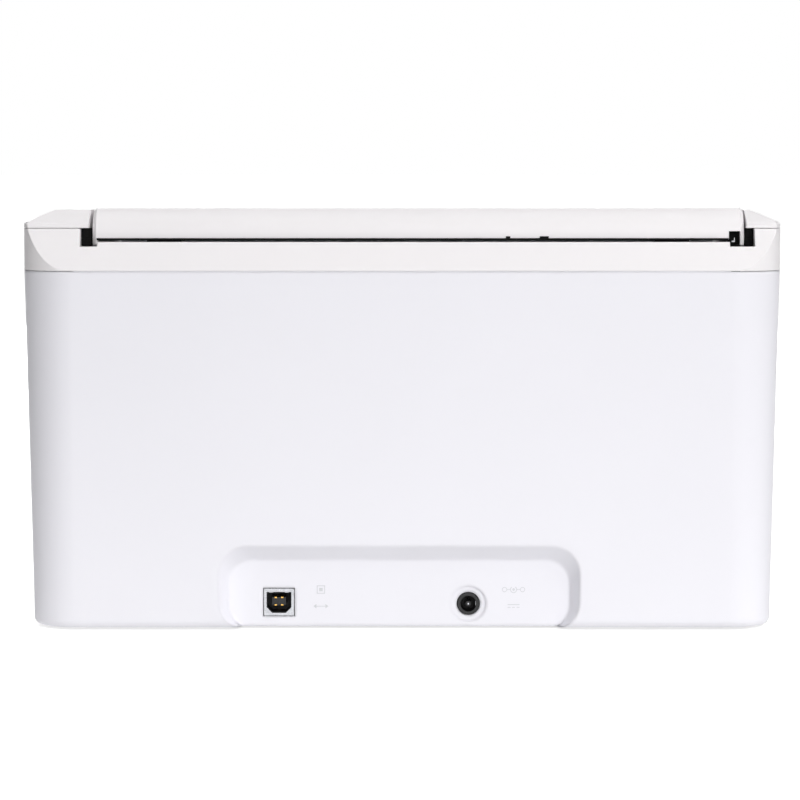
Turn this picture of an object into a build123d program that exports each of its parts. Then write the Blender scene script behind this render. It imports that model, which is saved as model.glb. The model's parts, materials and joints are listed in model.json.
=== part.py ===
from build123d import *
import os
from math import asin, atan2, cos, degrees, hypot, pi, radians, sin, sqrt, tan

# Desktop sheet-fed document scanner with a lid that opens into the input tray.
# +Y is the rear, where the connectors are, -Y the front, +Z up. Left is +X.
# The origin lies on the desk, under the middle of the case.

# Case
case_width = 302.4
case_depth = 172.0
case_wall = 2.2
draft_angle = 1.3
rear_corner = 20.0
front_corner = 12.0
bottom_round = 3.0
bottom_lip_height = 2.6
bottom_lip_width = 4.4
seam_height = 143.3
seam_gap = 0.2
side_seam = 20.0

# Shoulder, arms and caps
shoulder_run = 7.5
shoulder_rise = 11.5
arm_height = 16.8
arm_wall = 2.2
left_arm_width = 27.8
right_arm_width = 14.9
left_arm_gap = 4.6
right_arm_gap = 3.8
left_cap_gap = 1.3
right_cap_gap = 0.7
cap_lip = 1.6
cap_bevel = 0.9
hip_run = 11.7
hip_rise = 4.9
cap_fall = 2.9
cap_wall = 1.8
end_notch_depth = 1.8
left_notch_reach = 2.4
right_notch_reach = 6.2
pivot_space = 3.0

# Feet and base
foot_height = 1.0
foot_radius = 8.0
foot_inset_x = 50.0
foot_inset_y = 24.0
base_thickness = 1.8
post_radius = 3.0
vent_count = 9
vent_pitch = 8.0
vent_length = 24.0
vent_width = 3.0
rail_thickness = 2.4
rail_reach = 106.0

# Connector recess in the rear wall
recess_width = 147.0
recess_top = 35.9
recess_centre = 1.2
recess_corner = 12.0
recess_depth = 9.5
recess_side_slope = 5.0
recess_top_slope = 8.0
recess_corner_taper = 2.0

# Connectors and their board
board_thickness = 1.6
board_width = 128.0
board_depth = 46.0
board_standoff = 0.9
socket_x = 49.3
socket_width = 12.0
socket_height = 10.9
socket_depth = 16.0
socket_side = 1.05
socket_head = 1.4
socket_sill = 1.1
socket_corner = 2.2
socket_liner = 0.25
socket_insert_setback = 0.5
socket_mouth_depth = 9.0
socket_tongue_width = 5.6
socket_tongue_height = 3.2
socket_tongue_rise = 0.3
inlet_x = -26.5
inlet_radius = 4.4
inlet_body = 9.6
inlet_round = 2.0
inlet_depth = 14.0
inlet_wall = 1.2
inlet_bore_depth = 10.0
inlet_pin_radius = 1.05
inlet_dish_radius = 7.1
inlet_dish_depth = 0.6
port_clearance = 0.3

# Lid, which is the input tray when open
hinge_inset = 24.0
hinge_z = 157.2
barrel_radius = 11.4
lid_wall = 2.2
lid_front_inset = 24.0
lid_front_height = 10.9
lid_front_round = 4.0
lid_end_bevel = 1.4
tray_drop = 1.7
tray_thickness = 1.5
lug_drop = 3.8
lug_width = 8.0
pivot_radius = 1.6
pivot_boss = 3.6
pivot_seat = 6.0
relief_inset = 3.9
relief_width = 4.5
relief_top = 159.0
narrow_notch_x = -42.2
narrow_notch_width = 1.6
wide_notch_x = -56.6
wide_notch_width = 4.0
edge_notch_height = 0.9
open_angle = 125.0
barrel_clearance = 1.0
trough_start = -26.0

# Running and sliding fits
running_gap = 0.1
press_gap = 0.02
slide_gap = 0.3

# Edge guides, their racks and pinion
sheet_margin = 21.85
guide_travel = 80.0
guide_wall = 2.0
guide_height = 13.6
guide_start = 15.0
guide_length = 29.0
guide_foot = 12.0
guide_foot_thickness = 1.2
guide_corner = 4.0
rack_inset = 23.0
rack_width = 5.0
rack_height = 2.0
slot_width = 4.0
rack_module = 1.5
pinion_teeth = 10
pinion_post = 2.0

# Pull-out extensions of the input tray
extension_z = 159.9
extension_thickness = 1.4
extension_corner = 6.0
extension_notch = 24.0
runner_width = 1.8
runner_step = 4.0
runner_inset = 48.0
ridge_count = 9
ridge_pitch = 24.0
ridge_width = 2.0
ridge_height = 0.5
ridge_inset = 6.0
outer_extension_width = 140.0
inner_extension_width = 96.0
outer_extension_room = 38.0
inner_extension_setback = 6.0
extension_hold = 20.0
extension_grip = 3.4

# Sheet path: straight and steep at first, then an arc to the exit slot
path_gap = 2.2
guide_thickness = 2.0
exit_setback = 13.382
exit_height = 12.516
nip_gap = 0.3
exit_lead = 1.3
front_sensor_lead = 16.0
rear_sensor_lead = 9.0
feed_lead = 17.0
pick_lead = 26.0
window_gap = 1.5
pick_window = 17.0
drive_window = 14.0
gear_cut = 18.0
chute_setback = 0.6
thumb_depth = 13.5
thumb_round = 5.0

# Rollers
shaft_radius = 3.0
pick_radius = 14.0
pick_width = 36.0
drive_radius = 8.0
tyre_width = 22.0
tyre_spacing = 90.0
separation_radius = 11.0
separation_width = 28.0
pinch_radius = 6.0
pinch_width = 18.0
pinch_shaft_radius = 1.7
bush_radius = 5.0
bush_flange = 5.8
bush_flange_thickness = 1.0
bush_running_gap = 0.06

# Side frames that carry the rollers
frame_margin = 10.0
frame_thickness = 2.0
frame_top = 136.0
frame_inset = 18.0
frame_corner = 8.0
frame_foot_angle = -62.0
frame_window = 70.0
frame_window_width = 14.0
frame_window_margin = 12.0

# Gears, on the outside of the left side frame
gear_module = 1.0
gear_width = 5.0
gear_offset = 1.2
mesh_gap = 0.1
gear_root_overlap = 0.6
pick_teeth = 22
feed_teeth = 14
exit_teeth = 14
upper_idler_teeth = 16
lower_idler_teeth = 36
motor_teeth = 10
tooth_share = 0.38
tooth_root_share = 1.5
tooth_tip_share = 0.5
addendum = 0.85
dedendum = 1.25
idler_post = 2.5

# Drive motor
motor_angle = -20.0
motor_radius = 14.5
motor_length = 26.0
motor_shaft_radius = 1.5
motor_shaft_depth = 8.0

# Contact image sensors
sensor_width = 14.0
sensor_depth = 12.0
sensor_margin = 3.0
sensor_chamfer = 1.5
glass_thickness = 2.0

# Front cover
left_door_gap = 1.2
right_door_gap = 1.3
door_hinge_inset = 16.0
door_hinge_z = 30.0
door_top = 153.4
door_bottom = 19.5
door_wall = 2.4
door_cheek = 2.2
door_brow = 14.0
door_chin = 8.0
door_lip_inset = 23.0
door_slope_top = 149.5
door_nose = 6.0
door_nose_lead = 19.0
door_foot_angle = 43.0
door_pin_radius = 2.0
door_boss_radius = 5.0
door_boss_length = 3.5
door_pin_head = 1.4
ear_radius = 3.4
ear_thickness = 1.8
separation_window = 20.0
latch_inset = 9.8
latch_bar_inset = 8.0
latch_setback = 1.4
latch_round = 1.0
latch_width = 34.0
latch_height = 7.0
latch_travel = 4.0
latch_tip = 6.0
latch_z = 128.0

# Columns beside the front cover
left_column_gap = 0.4
right_column_gap = 0.8
column_wall = 2.2

# Output tray
tray_floor = 1.6
tray_clearance = 0.5
output_margin = 3.0
output_hold = 14.0
output_height = 5.2
output_wall = 1.8
output_room = 87.0
output_extension_thickness = 1.2
finger_notch = 24.0
output_extension_width = 150.0
output_extension_setback = 9.0
stop_width = 56.0
stop_length = 9.0
stop_round = 3.0
stop_thickness = 1.4
stop_pin = 0.5

# Controls on the left column
control_inset = 8.2
scan_button_z = 118.0
power_button_z = 98.0
button_radius = 4.6
button_depth = 4.0
button_recess = 0.2
button_gap = 0.1
button_flange = 1.0
button_bevel = 0.8
lens_z = 134.0
lens_width = 6.0
lens_height = 2.4

# Sensor flag above the pick roller
flag_lead = 29.0
flag_offset = 62.0
flag_back = 6.0
flag_reach = 3.0
flag_finger = 2.4
flag_slot = 13.0
flag_width = 3.0
flag_pin = 1.2
flag_boss = 3.0
flag_ear = 1.8

os.makedirs("parts", exist_ok=True)

# Places across the scanner, from the sides of the case inwards
far = case_width
lid_left = case_width / 2 - left_arm_width
lid_right = -case_width / 2 + right_arm_width
tray_centre = (lid_left + lid_right) / 2
left_arm_inner = lid_left + left_arm_gap
right_arm_inner = lid_right - right_arm_gap
left_cap_inner = lid_left + left_cap_gap
right_cap_inner = lid_right - right_cap_gap
left_column_inner = lid_left + left_column_gap
right_column_inner = lid_right - right_column_gap
door_left = left_column_inner - left_door_gap
door_right = right_column_inner + right_door_gap
latch_left = door_left - latch_inset
control_x = left_column_inner + control_inset
relief_x = lid_right + relief_inset
sheet_width = lid_left - lid_right - 2 * sheet_margin
guide_reach = sheet_width / 2
frame_spacing = sheet_width + 2 * frame_margin
sensor_length = sheet_width + 2 * sensor_margin
output_half_width = sheet_width / 2 + output_margin

# Places along the scanner, from its rear and front faces inwards
cover_seam = side_seam - seam_gap / 2
recess_floor = case_depth / 2 - recess_depth
frame_rear = case_depth / 2 - frame_inset
hinge_y = case_depth / 2 - hinge_inset
rack_y = hinge_y - rack_inset
guide_rear = hinge_y - guide_start
guide_front = guide_rear - guide_length
runner_rear = hinge_y - runner_inset
lid_front = -case_depth / 2 + lid_front_inset
door_hinge = (-case_depth / 2 + door_hinge_inset, door_hinge_z)
door_lip_y = -case_depth / 2 + door_lip_inset
latch_bar_y = -case_depth / 2 + latch_bar_inset
outer_extension_travel = hinge_y - lid_front - outer_extension_room
inner_extension_travel = outer_extension_travel - inner_extension_setback
rail_rear = -case_depth / 2 + rail_reach
output_travel = case_depth - output_room
output_extension_travel = output_travel - output_extension_setback

# Heights, and the line of the sheet path
arm_top = seam_height + arm_height
cap_bottom = arm_top + seam_gap
cap_peak = cap_bottom + cap_lip + cap_bevel + hip_rise
lean = shoulder_run / shoulder_rise
rim_height = seam_height + shoulder_rise
floor_top = foot_height + base_thickness
base_inset = bottom_lip_width + seam_gap
hinge = (hinge_y, hinge_z)
tray_face = hinge_z - tray_drop
lid_front_top = tray_face + lid_front_height
board_top = floor_top + board_standoff + board_thickness
socket_z = board_top + socket_height / 2
inlet_z = board_top + inlet_body / 2
open_slope = radians(180.0 - open_angle)
down_y = -cos(open_slope)
down_z = -sin(open_slope)
back_y = sin(open_slope)
back_z = -cos(open_slope)
trough_radius = barrel_radius + barrel_clearance
trough_reach = sqrt(trough_radius**2 - tray_drop**2)
guide_top_y = hinge_y - tray_drop * back_y + trough_reach * down_y
guide_top_z = hinge_z - tray_drop * back_z + trough_reach * down_z
path_run = guide_top_y + case_depth / 2 - exit_setback
path_drop = guide_top_z - exit_height
straight_length = path_drop * sin(open_slope) / (1 - cos(open_slope)) - path_run
exit_arc = (path_run * sin(open_slope) - path_drop * cos(open_slope)) / (1 - cos(open_slope))
exit_station = straight_length - exit_lead
front_sensor_station = exit_station - front_sensor_lead
rear_sensor_station = front_sensor_station - rear_sensor_lead
feed_station = rear_sensor_station - feed_lead
pick_station = feed_station - pick_lead
flag_station = pick_station - flag_lead
door_nose_station = pick_station - door_nose_lead
gear_start = tray_centre + frame_spacing / 2 + gear_offset
left_frame = tray_centre + frame_spacing / 2 - frame_thickness
right_frame = tray_centre - frame_spacing / 2
shaft_left_end = gear_start + gear_width + gear_offset / 2
shaft_right_end = right_frame - bush_flange_thickness


def path_point(along, behind=0.0):
    """Side-view point at a distance down the straight sheet path, and behind it."""
    return (
        guide_top_y + along * down_y + behind * back_y,
        guide_top_z + along * down_z + behind * back_z,
    )


def path_plane(along, behind=0.0):
    """Plane in the sheet path: x across, y down the path, normal to the rear."""
    return Plane(
        origin=(tray_centre, *path_point(along, behind)),
        x_dir=(1, 0, 0),
        z_dir=(0, back_y, back_z),
    )


pick_axis = path_point(pick_station, pick_radius + nip_gap / 2)
feed_axis = path_point(feed_station, drive_radius + nip_gap / 2)
exit_axis = path_point(exit_station, drive_radius + nip_gap / 2)
separation_axis = path_point(pick_station, -separation_radius - nip_gap / 2)
feed_pinch_axis = path_point(feed_station, -pinch_radius - nip_gap / 2)
exit_pinch_axis = path_point(exit_station, -pinch_radius - nip_gap / 2)
exit_centre = path_point(straight_length, -exit_arc)
path_fall = degrees(atan2(back_z, back_y))


def block(x_range, y_range, z_range, mode=Mode.ADD):
    """Box between two opposite corners."""
    ranges = (x_range, y_range, z_range)
    with Locations(tuple(sum(ends) / 2 for ends in ranges)):
        Box(*[abs(ends[1] - ends[0]) for ends in ranges], mode=mode)


def rod(centre, radius, x_start, x_end, mode=Mode.ADD):
    """Round bar across the scanner, about a side-view centre."""
    with BuildSketch(Plane.YZ.offset(x_start)) as end:
        with Locations(centre):
            Circle(radius)
    extrude(end.sketch, amount=x_end - x_start, mode=mode)


def path_block(width, along_range, behind_range, offset=0.0, mode=Mode.ADD):
    """Box set square to the sheet path."""
    middle = sum(along_range) / 2
    with BuildSketch(path_plane(middle, behind_range[0])) as face:
        with Locations((offset, 0)):
            Rectangle(width, along_range[1] - along_range[0])
    extrude(face.sketch, amount=behind_range[1] - behind_range[0], mode=mode)


def case_form(inset, bottom, top):
    """Solid case whose walls lie in by an inset, drafted below the shoulder seam."""
    with BuildPart() as form:
        with BuildSketch(Plane.XY.offset(seam_height)) as outline:
            Rectangle(case_width - 2 * inset, case_depth - 2 * inset)
            fillet(outline.vertices().group_by(Axis.Y)[-1], rear_corner - inset)
            fillet(outline.vertices().group_by(Axis.Y)[0], front_corner - inset)
        extrude(amount=bottom - seam_height, taper=draft_angle)
        extrude(outline.sketch, amount=top - seam_height)
    return form.part


def shoulder_wedge(inset):
    """Space behind the sloped shoulder, with the slope moved in square to itself."""
    start = case_depth / 2 - inset * hypot(1, lean)
    with BuildPart() as wedge:
        with BuildSketch(Plane.YZ.offset(-case_width)):
            with BuildLine():
                Polyline(
                    (start, seam_height),
                    (start - lean * (cap_peak - seam_height), cap_peak),
                    (case_depth, cap_peak),
                    (case_depth, seam_height),
                    close=True,
                )
            make_face()
        extrude(amount=2 * case_width)
    return wedge.part


def recess_form(growth, front):
    """Tapered pocket for the connectors, open at the bottom of the case."""
    rear = case_depth / 2
    with BuildPart() as pocket:
        for y, share in ((rear, 0.0), (front, 1.0)):
            half = recess_width / 2 + growth - share * recess_side_slope
            top = recess_top + growth - share * recess_top_slope
            corner = recess_corner + growth - share * recess_corner_taper
            with BuildSketch(Plane(origin=(recess_centre, y, 0), x_dir=(-1, 0, 0), z_dir=(0, 1, 0))) as face:
                with Locations((0, top / 2)):
                    Rectangle(2 * half, top)
                fillet(face.vertices().group_by(Axis.Z)[-1], corner)
        loft(ruled=True)
    return pocket.part


outer_form = case_form(0, foot_height, arm_top)
outer_form = outer_form.fillet(bottom_round, outer_form.faces().sort_by(Axis.Z)[0].edges())
inner_form = case_form(case_wall, foot_height + bottom_lip_height, arm_top)
lip_form = case_form(bottom_lip_width, 0, arm_top)
recess_pocket = recess_form(0, recess_floor)
recess_backing = recess_form(case_wall, recess_floor - case_wall)


def case_shell(x_range, y_range):
    """Drafted case wall with its turned-in bottom lip, between seams."""
    add(outer_form)
    add(inner_form, mode=Mode.SUBTRACT)
    add(lip_form, mode=Mode.SUBTRACT)
    block(x_range, y_range, (0, seam_height), mode=Mode.INTERSECT)


# Rear cover: rear wall and rear corners, with the connector recess
with BuildPart() as rear_cover:
    case_shell((-far, far), (side_seam + seam_gap / 2, far))
    add(recess_backing)
    add(outer_form, mode=Mode.INTERSECT)
    add(recess_pocket, mode=Mode.SUBTRACT)
    block(
        (socket_x - socket_width / 2 - port_clearance, socket_x + socket_width / 2 + port_clearance),
        (recess_floor - 2 * case_wall, far),
        (board_top - port_clearance, board_top + socket_height + port_clearance),
        mode=Mode.SUBTRACT,
    )
    with BuildSketch(Plane.XZ.offset(-recess_floor - case_wall)):
        with Locations((inlet_x, inlet_z)):
            Circle(inlet_radius + port_clearance)
    extrude(amount=3 * case_wall, mode=Mode.SUBTRACT)
    # Shallow dish round the power inlet
    with BuildSketch(Plane.XZ.offset(-recess_floor)) as dish:
        with Locations((inlet_x, inlet_z)):
            Circle(inlet_dish_radius)
    extrude(dish.sketch, amount=inlet_dish_depth, mode=Mode.SUBTRACT)
rear_cover.part.label = "rear_cover"

# Side covers: front part of each side wall, with the hollow columns beside the door
def front_face(height):
    """Depth of the drafted front of the case at a height."""
    return -case_depth / 2 + (seam_height - height) * tan(radians(draft_angle))


def column_side(x_range):
    """Upright wall between a column and the door opening."""
    with BuildPart() as wall:
        add(outer_form)
        block(x_range, (-far, cover_seam), (floor_top + seam_gap, seam_height), mode=Mode.INTERSECT)
    return wall.part


def front_hole(height, start, mode=Mode.SUBTRACT):
    """Round hole for a button, cut into the front of the left column."""
    with BuildSketch(Plane.XZ.offset(-start)) as outline:
        with Locations((control_x, height)):
            Circle(button_radius + slide_gap)
    extrude(outline.sketch, amount=far, mode=mode)


with BuildPart() as side_cover_left:
    case_shell((left_column_inner, far), (-far, cover_seam))
    add(column_side((left_column_inner, left_column_inner + column_wall)))
    rod(door_hinge, door_pin_radius + press_gap, 0, left_column_inner + column_wall, mode=Mode.SUBTRACT)
    for button_z in (scan_button_z, power_button_z):
        front_hole(button_z, front_face(button_z) + button_depth)
    with BuildSketch(Plane.XZ.offset(-front_face(lens_z) - button_depth)):
        with Locations((control_x, lens_z)):
            SlotOverall(lens_width + 2 * press_gap, lens_height + 2 * press_gap)
    extrude(amount=far, mode=Mode.SUBTRACT)
side_cover_left.part.label = "side_cover_left"

with BuildPart() as side_cover_right:
    case_shell((-far, right_column_inner), (-far, cover_seam))
    add(column_side((right_column_inner - column_wall, right_column_inner)))
    rod(door_hinge, door_pin_radius + press_gap, right_column_inner - column_wall, 0, mode=Mode.SUBTRACT)
side_cover_right.part.label = "side_cover_right"

# Upper frame: the sloped shoulder behind the lid, and an arm at each side
arm_left_wall = left_column_inner + column_wall
arm_right_wall = right_column_inner - column_wall
pocket_front = hinge_y - barrel_radius - pivot_space


def arm_hollow(x_range, y_range):
    """Space inside the walls of the arms and the shoulder."""
    with BuildPart() as hollow:
        add(inner_form)
        add(shoulder_wedge(case_wall), mode=Mode.SUBTRACT)
        block(x_range, y_range, (seam_height, arm_top), mode=Mode.INTERSECT)
    return hollow.part


with BuildPart() as upper_frame:
    add(outer_form)
    block((-far, far), (-far, far), (seam_height + seam_gap, far), mode=Mode.INTERSECT)
    add(shoulder_wedge(0), mode=Mode.SUBTRACT)
    add(arm_hollow((right_arm_inner, left_arm_inner), (pocket_front, far)), mode=Mode.SUBTRACT)
    block((right_column_inner, left_column_inner), (-far, pocket_front), (seam_height, far),
          mode=Mode.SUBTRACT)
    add(arm_hollow((arm_left_wall, far), (-far, pocket_front - arm_wall)), mode=Mode.SUBTRACT)
    add(arm_hollow((left_arm_inner + arm_wall, far), (-far, far)), mode=Mode.SUBTRACT)
    add(arm_hollow((-far, arm_right_wall), (-far, pocket_front - arm_wall)), mode=Mode.SUBTRACT)
    add(arm_hollow((-far, right_arm_inner - arm_wall), (-far, far)), mode=Mode.SUBTRACT)
    block((right_arm_inner, left_arm_inner), (hinge_y, far), (rim_height, far), mode=Mode.SUBTRACT)
    for notch in (
        (lid_left - left_notch_reach, left_arm_inner),
        (right_arm_inner, lid_right + right_notch_reach),
    ):
        block(notch, (hinge_y, far), (rim_height - end_notch_depth, far), mode=Mode.SUBTRACT)
    rod(hinge, pivot_radius + running_gap, right_arm_inner - 2 * arm_wall, left_arm_inner + 2 * arm_wall,
        mode=Mode.SUBTRACT)
upper_frame.part.label = "upper_frame"


# Arm caps: hipped on their outer sides, upright beside the lid, and lower at the front like the lid
def cap_roof(inner_face, side, inset, lip, rise):
    """Hipped form over one arm, its walls moved in by an inset."""
    shoulder_y = case_depth / 2 - lean * (cap_bottom - seam_height)
    top = cap_bottom + lip + cap_bevel + rise
    with BuildPart() as roof:
        with BuildSketch(Plane.XY.offset(cap_bottom)) as outline:
            Rectangle(case_width, case_depth)
            fillet(outline.vertices().group_by(Axis.Y)[-1], rear_corner)
            fillet(outline.vertices().group_by(Axis.Y)[0], front_corner)
            with Locations((side * far / 2 + inner_face - side * hip_run, shoulder_y - far / 2)):
                Rectangle(far, far, mode=Mode.INTERSECT)
            offset(amount=-inset, kind=Kind.INTERSECTION)
        extrude(amount=lip)
        extrude(roof.faces().sort_by(Axis.Z)[-1], amount=cap_bevel, taper=45)
        extrude(roof.faces().sort_by(Axis.Z)[-1], amount=rise, taper=degrees(atan2(hip_run, hip_rise)))
        with BuildSketch(Plane.YZ.offset(-far)):
            with BuildLine():
                Polyline(
                    (shoulder_y, top),
                    (-case_depth / 2, top - cap_fall),
                    (-case_depth / 2, 2 * top),
                    close=True,
                )
            make_face()
        extrude(amount=2 * far, mode=Mode.SUBTRACT)
        clip = inner_face + side * inset
        block((clip, side * far), (-far, far), (0, far), mode=Mode.INTERSECT)
    return roof.part


def arm_cap(inner_face, side):
    """Cap of one arm, hollow from below."""
    with BuildPart() as cap:
        add(cap_roof(inner_face, side, 0, cap_lip, hip_rise))
        add(cap_roof(inner_face, side, cap_wall, cap_lip / 2, hip_rise - cap_wall / 2), mode=Mode.SUBTRACT)
    return cap.part


with BuildPart() as arm_cap_left:
    add(arm_cap(left_cap_inner, 1))
arm_cap_left.part.label = "arm_cap_left"

with BuildPart() as arm_cap_right:
    add(arm_cap(right_cap_inner, -1))
arm_cap_right.part.label = "arm_cap_right"

# Base chassis: floor, front sill, tray rails and board posts, standing on rubber feet
exit_top = exit_centre[1] - exit_arc
exit_bottom = exit_top - guide_thickness
rail_inner = output_half_width + slide_gap
board_rear = recess_floor - case_wall - 2 * port_clearance
board_centre_y = board_rear - board_depth / 2
board_centre_x = (socket_x + inlet_x) / 2

with BuildPart() as base_chassis:
    add(case_form(base_inset, foot_height, seam_height + seam_gap))
    block((-far, far), (-far, far), (foot_height, floor_top), mode=Mode.INTERSECT)
    with BuildSketch(Plane.XY.offset(foot_height)):
        with BuildLine():
            Polyline(
                (right_column_inner + seam_gap, front_face(foot_height) + bottom_round),
                (right_column_inner + seam_gap, 0),
                (left_column_inner - seam_gap, 0),
                (left_column_inner - seam_gap, front_face(foot_height) + bottom_round),
                close=True,
            )
        make_face()
    extrude(amount=base_thickness)
    add(recess_form(case_wall + seam_gap, recess_floor - case_wall - seam_gap), mode=Mode.SUBTRACT)
    # Rails that the output tray slides between
    for side in (-1, 1):
        rail = tray_centre + side * (rail_inner + rail_thickness / 2)
        block(
            (rail - rail_thickness / 2, rail + rail_thickness / 2),
            (front_face(0) + output_wall, rail_rear),
            (floor_top, exit_bottom - seam_gap),
        )
    # Posts under the corners of the main board
    with BuildSketch(Plane.XY.offset(floor_top)):
        with Locations((board_centre_x, board_centre_y)):
            with GridLocations(board_width - 4 * post_radius, board_depth - 4 * post_radius, 2, 2):
                Circle(post_radius)
    extrude(amount=board_standoff)
    # Air slots under the main board
    with BuildSketch(Plane.XY):
        with Locations((board_centre_x, board_centre_y)):
            with GridLocations(vent_pitch, 0, vent_count, 1):
                Rectangle(vent_width, vent_length)
    extrude(amount=floor_top, mode=Mode.SUBTRACT)
base_chassis.part.label = "base_chassis"

with BuildPart() as rubber_feet:
    with BuildSketch():
        with GridLocations(case_width - 2 * foot_inset_x, case_depth - 2 * foot_inset_y, 2, 2):
            Circle(foot_radius)
    extrude(amount=foot_height)
rubber_feet.part.label = "rubber_feet"


# Gear train on the left side frame
def teeth_radius(teeth):
    """Pitch radius of a gear."""
    return gear_module * teeth / 2


def gear_between(first, first_teeth, second, second_teeth, teeth):
    """Centre, behind the line of two gears, of a gear in mesh with both."""
    to_first = teeth_radius(first_teeth) + teeth_radius(teeth) + mesh_gap
    to_second = teeth_radius(second_teeth) + teeth_radius(teeth) + mesh_gap
    run_y = second[0] - first[0]
    run_z = second[1] - first[1]
    run = hypot(run_y, run_z)
    along = (to_first**2 - to_second**2 + run**2) / (2 * run)
    aside = sqrt(to_first**2 - along**2)
    return (
        first[0] + (along * run_y + aside * run_z) / run,
        first[1] + (along * run_z - aside * run_y) / run,
    )


def mesh_phase(first, first_teeth, first_phase, second, second_teeth):
    """Angle of a tooth of the second gear that sets it in mesh with the first."""
    sight = degrees(atan2(second[1] - first[1], second[0] - first[0]))
    lead = first_phase - sight
    return sight + 180.0 - lead * first_teeth / second_teeth - 180.0 / second_teeth


upper_idler_axis = gear_between(feed_axis, feed_teeth, pick_axis, pick_teeth, upper_idler_teeth)
lower_idler_axis = gear_between(exit_axis, exit_teeth, feed_axis, feed_teeth, lower_idler_teeth)
motor_reach = teeth_radius(lower_idler_teeth) + teeth_radius(motor_teeth) + mesh_gap
motor_axis = (
    lower_idler_axis[0] + motor_reach * cos(radians(motor_angle)),
    lower_idler_axis[1] + motor_reach * sin(radians(motor_angle)),
)
lower_idler_phase = mesh_phase(motor_axis, motor_teeth, 0.0, lower_idler_axis, lower_idler_teeth)
feed_phase = mesh_phase(lower_idler_axis, lower_idler_teeth, lower_idler_phase, feed_axis, feed_teeth)
exit_phase = mesh_phase(lower_idler_axis, lower_idler_teeth, lower_idler_phase, exit_axis, exit_teeth)
upper_idler_phase = mesh_phase(feed_axis, feed_teeth, feed_phase, upper_idler_axis, upper_idler_teeth)
pick_phase = mesh_phase(upper_idler_axis, upper_idler_teeth, upper_idler_phase, pick_axis, pick_teeth)


def wheel_outline(teeth, module, phase):
    """Outline of a spur gear with straight-flanked teeth."""
    pitch_radius = module * teeth / 2
    root = pitch_radius - dedendum * module
    tip = pitch_radius + addendum * module
    half_tooth = tooth_share * pi * module / 2
    with BuildSketch() as outline:
        Circle(root)
        with PolarLocations(0, teeth, start_angle=phase):
            Polygon(
                (root - gear_root_overlap, -tooth_root_share * half_tooth),
                (tip, -tooth_tip_share * half_tooth),
                (tip, tooth_tip_share * half_tooth),
                (root - gear_root_overlap, tooth_root_share * half_tooth),
                align=None,
            )
    return outline.sketch


def gear_wheel(teeth, axis, phase, bore):
    """Spur gear of the drive train, bored for its shaft."""
    with BuildPart() as wheel:
        with BuildSketch(Plane(origin=(gear_start, *axis), x_dir=(0, 1, 0), z_dir=(1, 0, 0))):
            add(wheel_outline(teeth, gear_module, phase))
            Circle(bore, mode=Mode.SUBTRACT)
        extrude(amount=gear_width)
    return wheel.part


with BuildPart() as pick_gear:
    add(gear_wheel(pick_teeth, pick_axis, pick_phase, shaft_radius + press_gap))
pick_gear.part.label = "pick_gear"

with BuildPart() as feed_gear:
    add(gear_wheel(feed_teeth, feed_axis, feed_phase, shaft_radius + press_gap))
feed_gear.part.label = "feed_gear"

with BuildPart() as exit_gear:
    add(gear_wheel(exit_teeth, exit_axis, exit_phase, shaft_radius + press_gap))
exit_gear.part.label = "exit_gear"

with BuildPart() as upper_idler_gear:
    add(gear_wheel(upper_idler_teeth, upper_idler_axis, upper_idler_phase, idler_post + running_gap))
upper_idler_gear.part.label = "upper_idler_gear"

with BuildPart() as lower_idler_gear:
    add(gear_wheel(lower_idler_teeth, lower_idler_axis, lower_idler_phase, idler_post + running_gap))
lower_idler_gear.part.label = "lower_idler_gear"

with BuildPart() as motor_pinion:
    with BuildSketch(Plane(origin=(gear_start, *motor_axis), x_dir=(0, 1, 0), z_dir=(1, 0, 0))):
        add(wheel_outline(motor_teeth, gear_module, 0.0))
    extrude(amount=gear_width)
    rod(motor_axis, motor_shaft_radius, left_frame - motor_shaft_depth, gear_start)
motor_pinion.part.label = "motor_pinion"

with BuildPart() as drive_motor:
    rod(motor_axis, motor_radius, left_frame - motor_length, left_frame)
    rod(motor_axis, motor_shaft_radius + running_gap, left_frame - motor_shaft_depth - slide_gap, left_frame,
        mode=Mode.SUBTRACT)
drive_motor.part.label = "drive_motor"


# Side frames: plates that follow the back of the sheet path
def frame_plate(x_start):
    """One side frame, with a seat for each roller bush."""
    behind = guide_thickness + seam_gap
    start = (guide_top_z - frame_top) / -down_z
    foot_angle = radians(frame_foot_angle)
    arc_radius = exit_arc + behind
    arc_end = (
        exit_centre[0] + arc_radius * cos(foot_angle),
        exit_centre[1] + arc_radius * sin(foot_angle),
    )
    with BuildPart() as plate:
        with BuildSketch(Plane.YZ.offset(x_start)) as outline:
            with BuildLine():
                Polyline(
                    arc_end,
                    (arc_end[0], floor_top),
                    (frame_rear, floor_top),
                    (frame_rear, frame_top),
                    path_point(start, behind),
                    path_point(straight_length, behind),
                )
                CenterArc(exit_centre, arc_radius, path_fall, frame_foot_angle - path_fall)
            make_face()
            fillet(outline.vertices().group_by(Axis.Y)[-1].sort_by(Axis.Z)[-1], frame_corner)
            with Locations(pick_axis, feed_axis, exit_axis):
                Circle(bush_radius + press_gap, mode=Mode.SUBTRACT)
            with Locations((frame_rear - frame_window_margin, frame_top / 2)):
                SlotOverall(frame_window, frame_window_width, rotation=90, mode=Mode.SUBTRACT)
        extrude(amount=frame_thickness)
    return plate.part


with BuildPart() as side_frame_left:
    add(frame_plate(left_frame))
    rod(motor_axis, motor_shaft_radius + running_gap, left_frame, left_frame + frame_thickness,
        mode=Mode.SUBTRACT)
    for post_axis in (upper_idler_axis, lower_idler_axis):
        rod(post_axis, idler_post, left_frame, gear_start + gear_width)
        rod(post_axis, idler_post + gear_offset, left_frame, gear_start - seam_gap)
side_frame_left.part.label = "side_frame_left"

with BuildPart() as side_frame_right:
    add(frame_plate(right_frame))
side_frame_right.part.label = "side_frame_right"


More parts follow.
